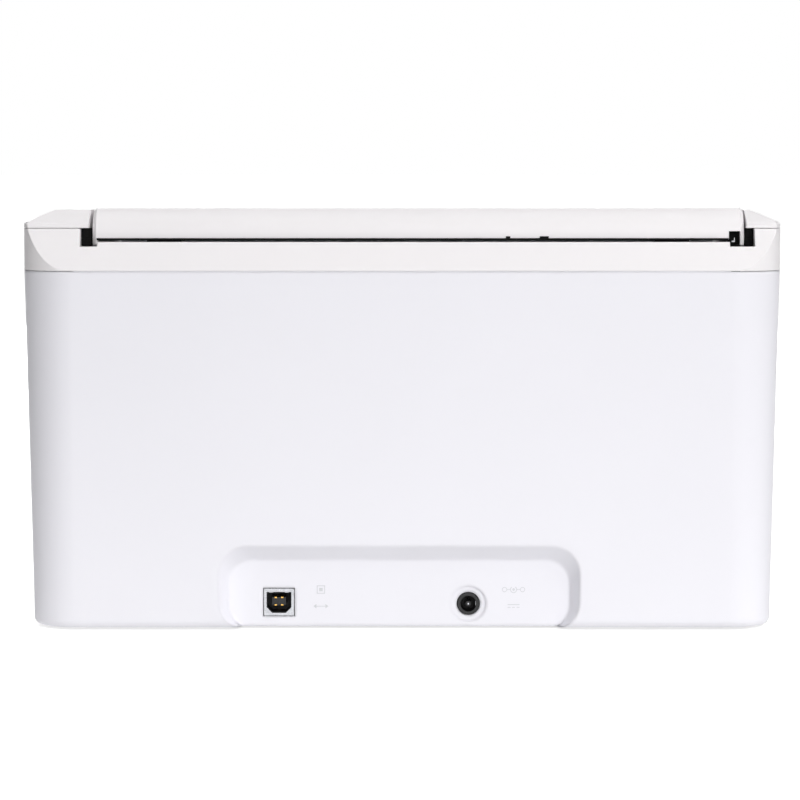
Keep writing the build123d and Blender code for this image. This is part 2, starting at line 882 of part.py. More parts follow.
# Shafts, with the bushes in the side frames that they run in
def bushing(axis, x_start, inward):
    """Flanged bush whose flange lies on the inner side of a frame."""
    rod(axis, bush_radius, x_start, x_start + frame_thickness)
    seat = x_start + frame_thickness if inward > 0 else x_start
    rod(axis, bush_flange, seat, seat + inward * bush_flange_thickness)
    rod(axis, shaft_radius + bush_running_gap, x_start - frame_thickness, x_start + 2 * frame_thickness,
        mode=Mode.SUBTRACT)


with BuildPart() as roller_bushes:
    for shaft_axis in (pick_axis, feed_axis, exit_axis):
        bushing(shaft_axis, left_frame, -1)
        bushing(shaft_axis, right_frame, 1)
roller_bushes.part.label = "roller_bushes"


def shaft(axis):
    """Steel shaft from the right side frame out to its gear."""
    with BuildPart() as bar:
        rod(axis, shaft_radius, shaft_right_end, shaft_left_end)
    return bar.part


def tyre(axis, radius, width, offset):
    """Rubber tyre on a shaft."""
    middle = tray_centre + offset
    with BuildPart() as ring:
        rod(axis, radius, middle - width / 2, middle + width / 2)
        rod(axis, shaft_radius + press_gap, middle - width, middle + width, mode=Mode.SUBTRACT)
    return ring.part


with BuildPart() as pick_shaft:
    add(shaft(pick_axis))
pick_shaft.part.label = "pick_shaft"

with BuildPart() as pick_tyre:
    add(tyre(pick_axis, pick_radius, pick_width, 0))
pick_tyre.part.label = "pick_tyre"

with BuildPart() as feed_shaft:
    add(shaft(feed_axis))
feed_shaft.part.label = "feed_shaft"

with BuildPart() as feed_tyres:
    for side in (-1, 1):
        add(tyre(feed_axis, drive_radius, tyre_width, side * tyre_spacing / 2))
feed_tyres.part.label = "feed_tyres"

with BuildPart() as exit_shaft:
    add(shaft(exit_axis))
exit_shaft.part.label = "exit_shaft"

with BuildPart() as exit_tyres:
    for side in (-1, 1):
        add(tyre(exit_axis, drive_radius, tyre_width, side * tyre_spacing / 2))
exit_tyres.part.label = "exit_tyres"

# Rear paper guide: trough under the lid's barrel, then the straight back of the path
guide_right = right_column_inner + slide_gap
guide_left = left_column_inner - slide_gap
guide_width = guide_left - guide_right
guide_offset = (guide_left + guide_right) / 2 - tray_centre
trough_end = degrees(atan2(guide_top_z - hinge_z, guide_top_y - hinge_y))
rear_guide_end = rear_sensor_station - sensor_width / 2 - slide_gap
chute_start = rear_sensor_station + sensor_width / 2 + slide_gap


def guide_hole(width, station, length, offset=0.0):
    """Hole right through the paper guide behind the path."""
    path_block(width, (station - length / 2, station + length / 2), (-guide_thickness, 2 * guide_thickness),
               offset, mode=Mode.SUBTRACT)


def gear_window(station):
    """Opening where a roller's gear stands through the paper guide."""
    gear_middle = gear_start + gear_width / 2
    guide_hole(gear_width + 2 * gear_offset, station, gear_cut, gear_middle - tray_centre)


with BuildPart() as rear_paper_guide:
    with BuildSketch(Plane.YZ.offset(guide_right)):
        with BuildLine():
            trough = CenterArc(hinge, trough_radius, trough_start, trough_end - trough_start)
            outer_trough = CenterArc(
                hinge, trough_radius + guide_thickness, trough_start, trough_end - trough_start
            )
            Line(trough @ 0, outer_trough @ 0)
            Line(trough @ 1, outer_trough @ 1)
        make_face()
    extrude(amount=guide_width)
    path_block(guide_width, (0, rear_guide_end), (0, guide_thickness), guide_offset)
    # Windows for the pick and feed tyres and the feed gear, and a slot for the sensor flag
    gear_window(feed_station)
    guide_hole(pick_width + 2 * window_gap, pick_station, pick_window)
    for side in (-1, 1):
        guide_hole(tyre_width + 2 * window_gap, feed_station, drive_window, side * tyre_spacing / 2)
    guide_hole(flag_width + window_gap, flag_station, flag_slot, flag_offset)
    # Ears that carry the sensor flag's pin
    flag_axis = path_point(flag_station, flag_back)
    for side in (-1, 1):
        ear_start = tray_centre + flag_offset + side * (flag_width / 2 + slide_gap)
        ear_end = ear_start + side * flag_ear
        ear_middle = flag_offset + side * (flag_width / 2 + slide_gap + flag_ear / 2)
        path_block(flag_ear, (flag_station - flag_boss, flag_station + flag_boss),
                   (guide_thickness / 2, flag_back), ear_middle)
        rod(flag_axis, flag_boss, ear_start, ear_end)
        rod(flag_axis, flag_pin + running_gap, ear_start - far, ear_end + far, mode=Mode.SUBTRACT)
rear_paper_guide.part.label = "rear_paper_guide"

with BuildPart() as paper_sensor_flag:
    flag_start = tray_centre + flag_offset - flag_width / 2
    rod(flag_axis, flag_boss - slide_gap, flag_start, flag_start + flag_width)
    rod(flag_axis, flag_pin, flag_start - slide_gap - flag_ear,
        flag_start + flag_width + slide_gap + flag_ear)
    path_block(flag_width, (flag_station - flag_finger / 2, flag_station + flag_finger / 2),
               (-flag_reach, flag_back), flag_offset)
paper_sensor_flag.part.label = "paper_sensor_flag"

# Exit chute: straight at first, then the arc that turns the sheet forward, then the exit floor
with BuildPart() as exit_chute:
    with BuildSketch(Plane.YZ.offset(guide_right)):
        with BuildLine():
            straight = Line(path_point(chute_start), path_point(straight_length))
            turn = CenterArc(exit_centre, exit_arc, path_fall, -90.0 - path_fall)
            floor_line = Line(turn @ 1, (front_face(exit_top) + chute_setback, exit_top))
            floor_under = Line(floor_line @ 1, (floor_line @ 1) - (0, guide_thickness))
            Line(floor_under @ 1, (turn @ 1) - (0, guide_thickness))
            under_turn = CenterArc(exit_centre, exit_arc + guide_thickness, -90.0, path_fall + 90.0)
            under_straight = Line(under_turn @ 1, path_point(chute_start, guide_thickness))
            Line(under_straight @ 1, straight @ 0)
        make_face()
    extrude(amount=guide_width)
    for side in (-1, 1):
        guide_hole(tyre_width + 2 * window_gap, exit_station, drive_window, side * tyre_spacing / 2)
    gear_window(exit_station)
    # Thumb recess over the output stop
    with BuildSketch(Plane.XY.offset(exit_bottom)):
        with Locations((tray_centre, front_face(exit_top))):
            RectangleRounded(stop_width + 4 * slide_gap, 2 * thumb_depth, thumb_round)
    extrude(amount=2 * guide_thickness, mode=Mode.SUBTRACT)
exit_chute.part.label = "exit_chute"

# Contact image sensors: one behind the path, one in front of it
def sensor_case(station, behind, side):
    """Sensor housing with sloped back edges, set square to the path."""
    with BuildPart() as case:
        with BuildSketch(path_plane(station, behind)):
            Rectangle(sensor_length, sensor_width)
        extrude(amount=side * sensor_depth)
        away = Axis(origin=(0, 0, 0), direction=(0, side * back_y, side * back_z))
        chamfer(case.faces().sort_by(away)[-1].edges(), sensor_chamfer)
    return case.part


with BuildPart() as sensor_module_rear:
    add(sensor_case(rear_sensor_station, glass_thickness, 1))
sensor_module_rear.part.label = "sensor_module_rear"

with BuildPart() as sensor_glass_rear:
    path_block(sensor_length,
               (rear_sensor_station - sensor_width / 2, rear_sensor_station + sensor_width / 2),
               (0, glass_thickness))
sensor_glass_rear.part.label = "sensor_glass_rear"

with BuildPart() as sensor_module_front:
    add(sensor_case(front_sensor_station, -path_gap - glass_thickness, -1))
sensor_module_front.part.label = "sensor_module_front"

with BuildPart() as sensor_glass_front:
    path_block(sensor_length,
               (front_sensor_station - sensor_width / 2, front_sensor_station + sensor_width / 2),
               (-path_gap - glass_thickness, -path_gap))
sensor_glass_front.part.label = "sensor_glass_front"

# Main board, with its data socket and power inlet
with BuildPart() as main_board:
    with BuildSketch(Plane.XY.offset(board_top - board_thickness)):
        with Locations((board_centre_x, board_centre_y)):
            RectangleRounded(board_width, board_depth, post_radius)
    extrude(amount=board_thickness)
main_board.part.label = "main_board"

socket_rear = recess_floor - port_clearance / 2
socket_opening_height = socket_height - socket_head - socket_sill


def socket_opening(inset):
    """Opening of the data socket, its two lower corners cut off, moved in by an inset."""
    with BuildSketch() as opening:
        with Locations((socket_x, board_top + socket_sill + socket_opening_height / 2)):
            Rectangle(socket_width - 2 * socket_side, socket_opening_height)
        chamfer(opening.vertices().group_by(Axis.Y)[0], socket_corner)
        if inset > 0:
            offset(amount=-inset, kind=Kind.INTERSECTION)
    return opening.sketch


with BuildPart() as data_socket_shell:
    with BuildSketch(Plane.XZ.offset(-socket_rear)):
        with Locations((socket_x, socket_z)):
            Rectangle(socket_width, socket_height)
        add(socket_opening(0), mode=Mode.SUBTRACT)
    extrude(amount=socket_depth)
data_socket_shell.part.label = "data_socket_shell"

with BuildPart() as data_socket_insert:
    with BuildSketch(Plane.XZ.offset(-socket_rear + socket_insert_setback)) as filling:
        add(socket_opening(0))
    extrude(filling.sketch, amount=socket_depth - socket_insert_setback)
    # Mouth round a square tongue
    with BuildSketch(Plane.XZ.offset(-socket_rear + socket_insert_setback)) as mouth:
        add(socket_opening(socket_liner))
        with Locations((socket_x, socket_z + socket_tongue_rise)):
            Rectangle(socket_tongue_width, socket_tongue_height, mode=Mode.SUBTRACT)
    extrude(mouth.sketch, amount=socket_mouth_depth, mode=Mode.SUBTRACT)
data_socket_insert.part.label = "data_socket_insert"

with BuildPart() as power_inlet:
    inlet_front = recess_floor - case_wall - slide_gap
    block(
        (inlet_x - inlet_body / 2, inlet_x + inlet_body / 2),
        (inlet_front - inlet_depth, inlet_front),
        (board_top, board_top + inlet_body),
    )
    fillet(power_inlet.edges().filter_by(Axis.Y).group_by(Axis.Z)[-1], inlet_round)
    with BuildSketch(Plane.XZ.offset(-inlet_front)) as collar:
        with Locations((inlet_x, inlet_z)):
            Circle(inlet_radius)
    extrude(collar.sketch, amount=-(recess_floor - inlet_front - port_clearance / 2))
    with BuildSketch(Plane.XZ.offset(-recess_floor)) as bore:
        with Locations((inlet_x, inlet_z)):
            Circle(inlet_radius - inlet_wall)
            Circle(inlet_pin_radius, mode=Mode.SUBTRACT)
    extrude(bore.sketch, amount=inlet_bore_depth, mode=Mode.SUBTRACT)
power_inlet.part.label = "power_inlet"

# Front cover: skin with a cheek at each side, hinged low down on two pins
door_front = -case_depth / 2
guide_front_line = -path_gap
door_foot_radius = exit_arc - path_gap
door_foot = (
    exit_centre[0] + door_foot_radius * cos(radians(path_fall - door_foot_angle)),
    exit_centre[1] + door_foot_radius * sin(radians(path_fall - door_foot_angle)),
)
nose_corner = path_point(door_nose_station, guide_front_line)
slope_start = (door_lip_y, door_slope_top)
path_end = path_point(straight_length, guide_front_line)
skin_corners = ((door_lip_y, door_top), (door_front, door_top), (front_face(door_bottom), door_bottom),
                (door_foot[0], door_foot[1] + door_wall))


def inner_guide_line():
    """Edge of the front cover along the hopper slope and the sheet path."""
    FilletPolyline(slope_start, nose_corner, path_end, radius=door_nose)
    return CenterArc(exit_centre, door_foot_radius, path_fall, -door_foot_angle)


with BuildPart() as front_cover:
    # Skin across the whole front
    with BuildSketch(Plane.YZ.offset(door_right)):
        with BuildLine():
            FilletPolyline(*skin_corners, radius=(door_brow, door_chin))
            offset(amount=door_wall, side=Side.LEFT)
        make_face()
    extrude(amount=door_left - door_right)
    # Cheeks that close the ends
    for cheek in (door_right, door_left - door_cheek):
        with BuildSketch(Plane.YZ.offset(cheek)):
            with BuildLine():
                FilletPolyline(*skin_corners, radius=(door_brow, door_chin))
                Line(skin_corners[0], slope_start)
                foot_line = inner_guide_line()
                Line(foot_line @ 1, skin_corners[-1])
            make_face()
        extrude(amount=door_cheek)
    # Hinge bosses and their bores
    for boss_start, boss_end in (
        (door_left - door_cheek - door_boss_length, door_left),
        (door_right, door_right + door_cheek + door_boss_length),
    ):
        rod(door_hinge, door_boss_radius, boss_start, boss_end)
        rod(door_hinge, door_pin_radius + running_gap, boss_start, boss_end, mode=Mode.SUBTRACT)
    # Window for the latch, and its way out through the left cheek
    block((latch_left - latch_width, latch_left), (-far, door_front + 2 * door_wall),
          (latch_z - latch_height / 2, latch_z + latch_height / 2), mode=Mode.SUBTRACT)
    tip_reach = latch_tip / 2 + slide_gap
    block((latch_left, far), (latch_bar_y - tip_reach, latch_bar_y + tip_reach),
          (latch_z - tip_reach, latch_z + tip_reach), mode=Mode.SUBTRACT)
front_cover.part.label = "front_cover"

with BuildPart() as front_cover_guide:
    inner_left = door_left - door_cheek - seam_gap
    inner_right = door_right + door_cheek + seam_gap
    with BuildSketch(Plane.YZ.offset(inner_right)):
        with BuildLine():
            inner_guide_line()
            offset(amount=guide_thickness, side=Side.RIGHT)
        make_face()
    extrude(amount=inner_left - inner_right)
    path_block(separation_width + 2 * window_gap,
               (pick_station - separation_window / 2, pick_station + separation_window / 2),
               (-path_gap - 2 * guide_thickness, 0), mode=Mode.SUBTRACT)
    path_block(sensor_length + 2 * slide_gap,
               (front_sensor_station - sensor_width / 2 - slide_gap,
                front_sensor_station + sensor_width / 2 + slide_gap),
               (-path_gap - 2 * guide_thickness, 0), mode=Mode.SUBTRACT)
    for station in (feed_station, exit_station):
        for side in (-1, 1):
            path_block(pinch_width + 2 * window_gap,
                       (station - drive_window / 2, station + drive_window / 2),
                       (-path_gap - 2 * guide_thickness, 0), side * tyre_spacing / 2, mode=Mode.SUBTRACT)
    # Ears for the separation roller and the pinch rollers
    for axis, station, depth, reach in (
        (separation_axis, pick_station, separation_radius, separation_width / 2),
        (feed_pinch_axis, feed_station, pinch_radius, tyre_spacing / 2 + pinch_width / 2),
        (exit_pinch_axis, exit_station, pinch_radius, tyre_spacing / 2 + pinch_width / 2),
    ):
        for side in (-1, 1):
            ear = tray_centre + side * (reach + slide_gap)
            ear_offset = side * (reach + slide_gap + ear_thickness / 2)
            path_block(ear_thickness, (station - ear_radius, station + ear_radius),
                       (-depth - ear_radius, -path_gap - guide_thickness / 2), ear_offset)
            rod(axis, pinch_shaft_radius + running_gap, ear - side * slide_gap,
                ear + side * 2 * ear_thickness, mode=Mode.SUBTRACT)
front_cover_guide.part.label = "front_cover_guide"


def idle_roller(axis, radius, width, centres, reach):
    """Rollers fixed on a thin shaft that turns in the ears of the front cover."""
    with BuildPart() as roller:
        shaft_half = reach + slide_gap + ear_thickness
        for centre in centres:
            middle = tray_centre + centre
            rod(axis, radius, middle - width / 2, middle + width / 2)
        rod(axis, pinch_shaft_radius, tray_centre - shaft_half, tray_centre + shaft_half)
    return roller.part


pinch_centres = (-tyre_spacing / 2, tyre_spacing / 2)
pinch_reach = tyre_spacing / 2 + pinch_width / 2

with BuildPart() as separation_roller:
    add(idle_roller(separation_axis, separation_radius, separation_width, (0,), separation_width / 2))
separation_roller.part.label = "separation_roller"

with BuildPart() as feed_pinch_rollers:
    add(idle_roller(feed_pinch_axis, pinch_radius, pinch_width, pinch_centres, pinch_reach))
feed_pinch_rollers.part.label = "feed_pinch_rollers"

with BuildPart() as exit_pinch_rollers:
    add(idle_roller(exit_pinch_axis, pinch_radius, pinch_width, pinch_centres, pinch_reach))
exit_pinch_rollers.part.label = "exit_pinch_rollers"

# Latch of the front cover: a finger pad on a bar whose tongue points at the column
with BuildPart() as cover_latch:
    pad_front = door_front + latch_setback
    block((latch_left - latch_width + latch_travel + slide_gap, latch_left - slide_gap),
          (pad_front, latch_bar_y - latch_tip / 2),
          (latch_z - latch_height / 2 + slide_gap, latch_z + latch_height / 2 - slide_gap))
    fillet(cover_latch.edges().group_by(Axis.Y)[0], latch_round)
    block((latch_left - latch_width + latch_travel + slide_gap, left_column_inner - slide_gap),
          (latch_bar_y - latch_tip / 2, latch_bar_y + latch_tip / 2),
          (latch_z - latch_tip / 2, latch_z + latch_tip / 2))
    fillet(cover_latch.faces().sort_by(Axis.X)[-1].edges().filter_by(Axis.Z), latch_round)
cover_latch.part.label = "cover_latch"

# Headed pins that the front cover turns on, pressed into the columns
with BuildPart() as door_hinge_pins:
    for start, end, head in (
        (door_left - door_cheek - door_boss_length, left_column_inner + column_wall, 1),
        (door_right + door_cheek + door_boss_length, right_column_inner - column_wall, -1),
    ):
        rod(door_hinge, door_pin_radius, start, end)
        rod(door_hinge, door_pin_radius + door_pin_head, end, end + head * door_pin_head)
door_hinge_pins.part.label = "door_hinge_pins"

# Lid: a barrel round the hinge line that runs out into the flat cover over the tray
lug_angle = degrees(asin(lug_drop / barrel_radius))
barrel_angle = degrees(asin(tray_drop / barrel_radius))
lid_peak = hinge_z + barrel_radius
lid_corners = ((hinge_y, lid_peak), (lid_front, lid_front_top), (lid_front, tray_face))

with BuildPart() as lid_cover:
    with BuildSketch(Plane.YZ.offset(lid_right)):
        with BuildLine():
            CenterArc(hinge, barrel_radius, -barrel_angle, 90.0 + barrel_angle)
            FilletPolyline(*lid_corners, radius=lid_front_round)
            offset(amount=lid_wall, side=Side.LEFT)
        make_face()
    extrude(amount=lid_left - lid_right)
    # End walls, each with a lug that hangs beside the pivot
    for wall_start in (lid_right, lid_left - lid_wall):
        with BuildSketch(Plane.YZ.offset(wall_start)):
            with BuildLine():
                rear_arc = CenterArc(hinge, barrel_radius, -lug_angle, 90.0 + lug_angle)
                FilletPolyline(*lid_corners, radius=lid_front_round)
                Polyline(
                    lid_corners[-1],
                    (hinge_y - lug_width, tray_face),
                    (hinge_y - lug_width + lug_drop, hinge_z - lug_drop),
                    rear_arc @ 0,
                )
            make_face()
        extrude(amount=lid_wall)
    # Bevelled upper edge at each end
    for end_edges in (lid_cover.edges().group_by(Axis.X)[0], lid_cover.edges().group_by(Axis.X)[-1]):
        chamfer([edge for edge in end_edges if (edge @ 0.5).Z > hinge_z], lid_end_bevel)
    rod(hinge, pivot_boss, lid_left - pivot_seat, lid_left)
    rod(hinge, pivot_boss, lid_right, lid_right + pivot_seat)
    rod(hinge, pivot_radius + press_gap, lid_right, lid_right + pivot_seat, mode=Mode.SUBTRACT)
    rod(hinge, pivot_radius + press_gap, lid_left - pivot_seat, lid_left, mode=Mode.SUBTRACT)
    # Slot in the front wall that the extensions slide through
    extension_slot = outer_extension_width / 2 + slide_gap
    block(
        (tray_centre - extension_slot, tray_centre + extension_slot),
        (lid_front - lid_wall, lid_front + 2 * lid_wall),
        (extension_z - slide_gap, extension_z + 2 * extension_thickness + 2 * slide_gap),
        mode=Mode.SUBTRACT,
    )
    # Relief beside the right pivot, and two small notches in the barrel's lower edge
    for notch_x, notch_width, notch_top in (
        (relief_x, relief_width, relief_top),
        (wide_notch_x, wide_notch_width, tray_face + edge_notch_height),
        (narrow_notch_x, narrow_notch_width, tray_face + edge_notch_height),
    ):
        block((notch_x - notch_width / 2, notch_x + notch_width / 2), (hinge_y, far), (0, notch_top),
              mode=Mode.SUBTRACT)
lid_cover.part.label = "lid_cover"

with BuildPart() as lid_pivot_pins:
    rod(hinge, pivot_radius, lid_left - pivot_seat, left_arm_inner + arm_wall)
    rod(hinge, pivot_radius, lid_right + pivot_seat, right_arm_inner - arm_wall)
lid_pivot_pins.part.label = "lid_pivot_pins"

# Tray plate: closes the lid from below, and holds the sheets when the lid is open
plate_left = lid_left - pivot_seat - slide_gap
plate_right = lid_right + pivot_seat + slide_gap
plate_front = lid_front + lid_wall + seam_gap
plate_rear = hinge_y + sqrt((barrel_radius - lid_wall) ** 2 - tray_drop**2) - slide_gap
plate_top = tray_face + tray_thickness
slot_half = guide_reach + guide_wall + slide_gap
slot_inner = guide_reach - guide_travel - guide_foot - slide_gap

with BuildPart() as tray_plate:
    block((plate_right, plate_left), (plate_front, plate_rear), (tray_face, plate_top))
    for side in (-1, 1):
        block(
            (tray_centre + side * slot_inner, tray_centre + side * slot_half),
            (rack_y - slot_width / 2, rack_y + slot_width / 2),
            (0, far),
            mode=Mode.SUBTRACT,
        )
        # Runner beside the extensions, with the step that they rest on
        runner = tray_centre + side * (outer_extension_width / 2 + slide_gap)
        step = tray_centre + side * (outer_extension_width / 2 - runner_step)
        block((runner, runner + side * runner_width), (plate_front, runner_rear),
              (plate_top, extension_z + 2 * extension_thickness))
        block((step, runner), (plate_front, runner_rear), (plate_top, extension_z - seam_gap))
    # Post for the pinion
    with BuildSketch(Plane.XY.offset(plate_top)):
        with Locations((tray_centre, rack_y)):
            Circle(pinion_post)
    extrude(amount=rack_height + slide_gap)
    # Ridges that keep the sheets off the plate
    with BuildSketch(Plane.XY.offset(tray_face)):
        with Locations((tray_centre, (plate_front + guide_front) / 2)):
            with GridLocations(ridge_pitch, 0, ridge_count, 1):
                Rectangle(ridge_width, guide_front - plate_front - 2 * ridge_inset)
    extrude(amount=-ridge_height)
tray_plate.part.label = "tray_plate"

# Edge guides: one rack each, on either side of a common pinion
rack_base = plate_top + slide_gap
rack_pitch = pi * rack_module
pinion_radius = rack_module * pinion_teeth / 2
rack_count = int((guide_travel + 2 * pinion_radius) / rack_pitch)


def edge_guide(side):
    """Sheet guide for one side, with its foot, neck and toothed rack."""
    wall_inner = tray_centre + side * guide_reach
    wall_outer = wall_inner + side * guide_wall
    foot_inner = wall_inner - side * guide_foot
    pitch_y = rack_y + side * pinion_radius
    root_y = pitch_y + side * dedendum * rack_module
    back_y_edge = root_y + side * rack_width
    foot_top = tray_face - slide_gap
    tip_y = pitch_y - side * addendum * rack_module
    half_tooth = tooth_share * rack_pitch / 2
    with BuildPart() as guide:
        block((wall_inner, wall_outer), (guide_front, guide_rear), (foot_top - guide_height, foot_top))
        fillet(guide.edges().filter_by(Axis.X).group_by(Axis.Z)[0], guide_corner)
        block((foot_inner, wall_outer), (guide_front, guide_rear),
              (foot_top - guide_foot_thickness, foot_top))
        block((foot_inner, wall_outer),
              (rack_y - slot_width / 2 + slide_gap, rack_y + slot_width / 2 - slide_gap),
              (foot_top, rack_base))
        block((foot_inner, wall_outer), (rack_y - side * slot_width / 2, back_y_edge),
              (rack_base, rack_base + rack_height))
        block((tray_centre - side * pinion_radius, wall_outer), (root_y, back_y_edge),
              (rack_base, rack_base + rack_height))
        with BuildSketch(Plane.XY.offset(rack_base)) as teeth:
            with Locations(*[(tray_centre + side * step * rack_pitch, 0) for step in range(rack_count)]):
                Polygon(
                    (-tooth_root_share * half_tooth, root_y + side * gear_root_overlap),
                    (-tooth_tip_share * half_tooth, tip_y),
                    (tooth_tip_share * half_tooth, tip_y),
                    (tooth_root_share * half_tooth, root_y + side * gear_root_overlap),
                    align=None,
                )
        extrude(teeth.sketch, amount=rack_height)
    return guide.part


with BuildPart() as edge_guide_left:
    add(edge_guide(1))
edge_guide_left.part.label = "edge_guide_left"

with BuildPart() as edge_guide_right:
    add(edge_guide(-1))
edge_guide_right.part.label = "edge_guide_right"

with BuildPart() as guide_pinion:
    with BuildSketch(Plane(origin=(tray_centre, rack_y, rack_base))):
        add(wheel_outline(pinion_teeth, rack_module, 0.0))
        Circle(pinion_post + running_gap, mode=Mode.SUBTRACT)
    extrude(amount=rack_height)
guide_pinion.part.label = "guide_pinion"


# Pull-out extensions of the input tray, one on top of the other
def tray_extension(half_width, travel, base, lip_inner):
    """Sliding plate with a finger lip at its front edge."""
    front = lid_front + seam_gap
    rear = front + travel + extension_hold
    with BuildPart() as plate:
        with BuildSketch(Plane.XY.offset(base)) as outline:
            with Locations((tray_centre, (front + rear) / 2)):
                Rectangle(2 * half_width, rear - front)
            fillet(outline.vertices().group_by(Axis.Y)[-1], extension_corner)
            with Locations((tray_centre, rear - extension_notch)):
                RectangleRounded(half_width, extension_notch, extension_corner, mode=Mode.SUBTRACT)
        extrude(amount=extension_thickness)
        if lip_inner > 0:
            for side in (-1, 1):
                block((tray_centre + side * lip_inner, tray_centre + side * half_width),
                      (front, front + extension_grip), (base, base + 2 * extension_thickness + seam_gap))
    return plate.part


with BuildPart() as tray_extension_outer:
    add(tray_extension(outer_extension_width / 2, outer_extension_travel, extension_z,
                       inner_extension_width / 2 + slide_gap))
tray_extension_outer.part.label = "tray_extension_outer"

with BuildPart() as tray_extension_inner:
    add(tray_extension(inner_extension_width / 2, inner_extension_travel,
                       extension_z + extension_thickness + seam_gap, 0))
tray_extension_inner.part.label = "tray_extension_inner"

# Output tray, its extension and the flap that stops the sheets
output_bottom = floor_top + tray_clearance
output_front = front_face(output_bottom)
output_rear = output_front + output_travel + output_hold
extension_half = output_extension_width / 2
extension_length = output_extension_travel + output_hold
extension_base = output_bottom + tray_floor + seam_gap
output_top = output_bottom + output_height
stop_y = output_front + output_wall + stop_thickness + slide_gap
stop_z = extension_base + output_extension_thickness + slide_gap + stop_thickness / 2

with BuildPart() as output_tray:
    block((tray_centre - output_half_width, tray_centre + output_half_width), (output_front, output_rear),
          (output_bottom, output_top))
    fillet(output_tray.edges().filter_by(Axis.Z).group_by(Axis.Y)[-1], extension_corner)
    block((tray_centre - output_half_width + output_wall, tray_centre + output_half_width - output_wall),
          (output_front + output_wall, far), (output_bottom + tray_floor, far), mode=Mode.SUBTRACT)
    block((tray_centre - extension_half - slide_gap, tray_centre + extension_half + slide_gap),
          (-far, 0), (output_bottom + tray_floor, far), mode=Mode.SUBTRACT)
    # Ribs beside the extension
    for side in (-1, 1):
        rib = tray_centre + side * (extension_half + slide_gap)
        block((rib, rib + side * output_wall), (output_front, output_rear - extension_corner),
              (output_bottom + tray_floor, extension_base + output_extension_thickness))
output_tray.part.label = "output_tray"

with BuildPart() as output_extension:
    with BuildSketch(Plane.XY.offset(extension_base)) as outline:
        with Locations((tray_centre, output_front + extension_length / 2)):
            Rectangle(output_extension_width, extension_length)
        fillet(outline.vertices().group_by(Axis.Y)[-1], extension_corner)
    extrude(amount=output_extension_thickness)
    block((tray_centre - extension_half, tray_centre + extension_half),
          (output_front, output_front + stop_thickness), (extension_base, output_top))
    # Finger notch in the front lip
    with BuildSketch(Plane.XZ.offset(-output_front - far / 2)) as notch:
        with Locations((tray_centre, output_top)):
            SlotOverall(finger_notch, 2 * (output_top - extension_base - output_extension_thickness))
    extrude(notch.sketch, amount=far, mode=Mode.SUBTRACT)
    # Ears for the stop flap
    for side in (-1, 1):
        ear = tray_centre + side * (stop_width / 2 + slide_gap)
        block((ear, ear + side * output_wall), (output_front, stop_y + stop_thickness),
              (extension_base, stop_z + stop_thickness))
        rod((stop_y, stop_z), stop_pin + running_gap, ear - side * slide_gap, ear + side * 2 * output_wall,
            mode=Mode.SUBTRACT)
output_extension.part.label = "output_extension"

with BuildPart() as output_stop:
    block((tray_centre - stop_width / 2, tray_centre + stop_width / 2), (stop_y, stop_y + stop_length),
          (stop_z - stop_thickness / 2, stop_z + stop_thickness / 2))
    fillet(output_stop.edges().filter_by(Axis.Z).group_by(Axis.Y)[-1], stop_round)
    rod((stop_y, stop_z), stop_thickness / 2, tray_centre - stop_width / 2, tray_centre + stop_width / 2)
    rod((stop_y, stop_z), stop_pin, tray_centre - stop_width / 2 - slide_gap - output_wall,
        tray_centre + stop_width / 2 + slide_gap + output_wall)
output_stop.part.label = "output_stop"


# Buttons and status lens on the front of the left column
def push_button(height):
    """Round button with a bevelled face and a flange behind the case wall."""
    face = front_face(height + button_radius) + button_recess
    wall_inside = front_face(height - button_radius) + case_wall
    with BuildPart() as button:
        with BuildSketch(Plane.XZ.offset(-face)) as outline:
            with Locations((control_x, height)):
                Circle(button_radius)
        extrude(outline.sketch, amount=face - wall_inside - button_gap - button_flange)
        chamfer(button.edges().group_by(Axis.Y)[0], button_bevel)
        with BuildSketch(Plane.XZ.offset(-wall_inside - button_gap)) as flange:
            with Locations((control_x, height)):
                Circle(button_radius + button_flange)
        extrude(flange.sketch, amount=-button_flange)
    return button.part


with BuildPart() as scan_button:
    add(push_button(scan_button_z))
scan_button.part.label = "scan_button"

with BuildPart() as power_button:
    add(push_button(power_button_z))
power_button.part.label = "power_button"

with BuildPart() as status_lens:
    with BuildSketch(Plane.XZ.offset(-front_face(lens_z) - button_recess)) as outline:
        with Locations((control_x, lens_z)):
            SlotOverall(lens_width, lens_height)
    extrude(outline.sketch, amount=-button_depth)
status_lens.part.label = "status_lens"

pieces = (
    base_chassis, rubber_feet, rear_cover, side_cover_left, side_cover_right, upper_frame,
    arm_cap_left, arm_cap_right, side_frame_left, side_frame_right, rear_paper_guide, exit_chute,
    sensor_module_rear, sensor_glass_rear, sensor_module_front, sensor_glass_front,
    main_board, data_socket_shell, data_socket_insert, power_inlet,
    drive_motor, motor_pinion, lower_idler_gear, upper_idler_gear, roller_bushes,
    pick_shaft, pick_tyre, pick_gear, feed_shaft, feed_tyres, feed_gear, exit_shaft, exit_tyres, exit_gear,
    paper_sensor_flag, front_cover, front_cover_guide, door_hinge_pins, cover_latch,
    separation_roller, feed_pinch_rollers, exit_pinch_rollers,
    lid_cover, lid_pivot_pins, tray_plate, edge_guide_left, edge_guide_right, guide_pinion,
    tray_extension_outer, tray_extension_inner, output_tray, output_extension, output_stop,
    scan_button, power_button, status_lens,
)
for piece in pieces:
    export_step(piece.part, f"parts/{piece.part.label}.step")
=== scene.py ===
import json
from math import cos, pi, radians, sin

import bmesh
import bpy
from mathutils import Matrix, Vector


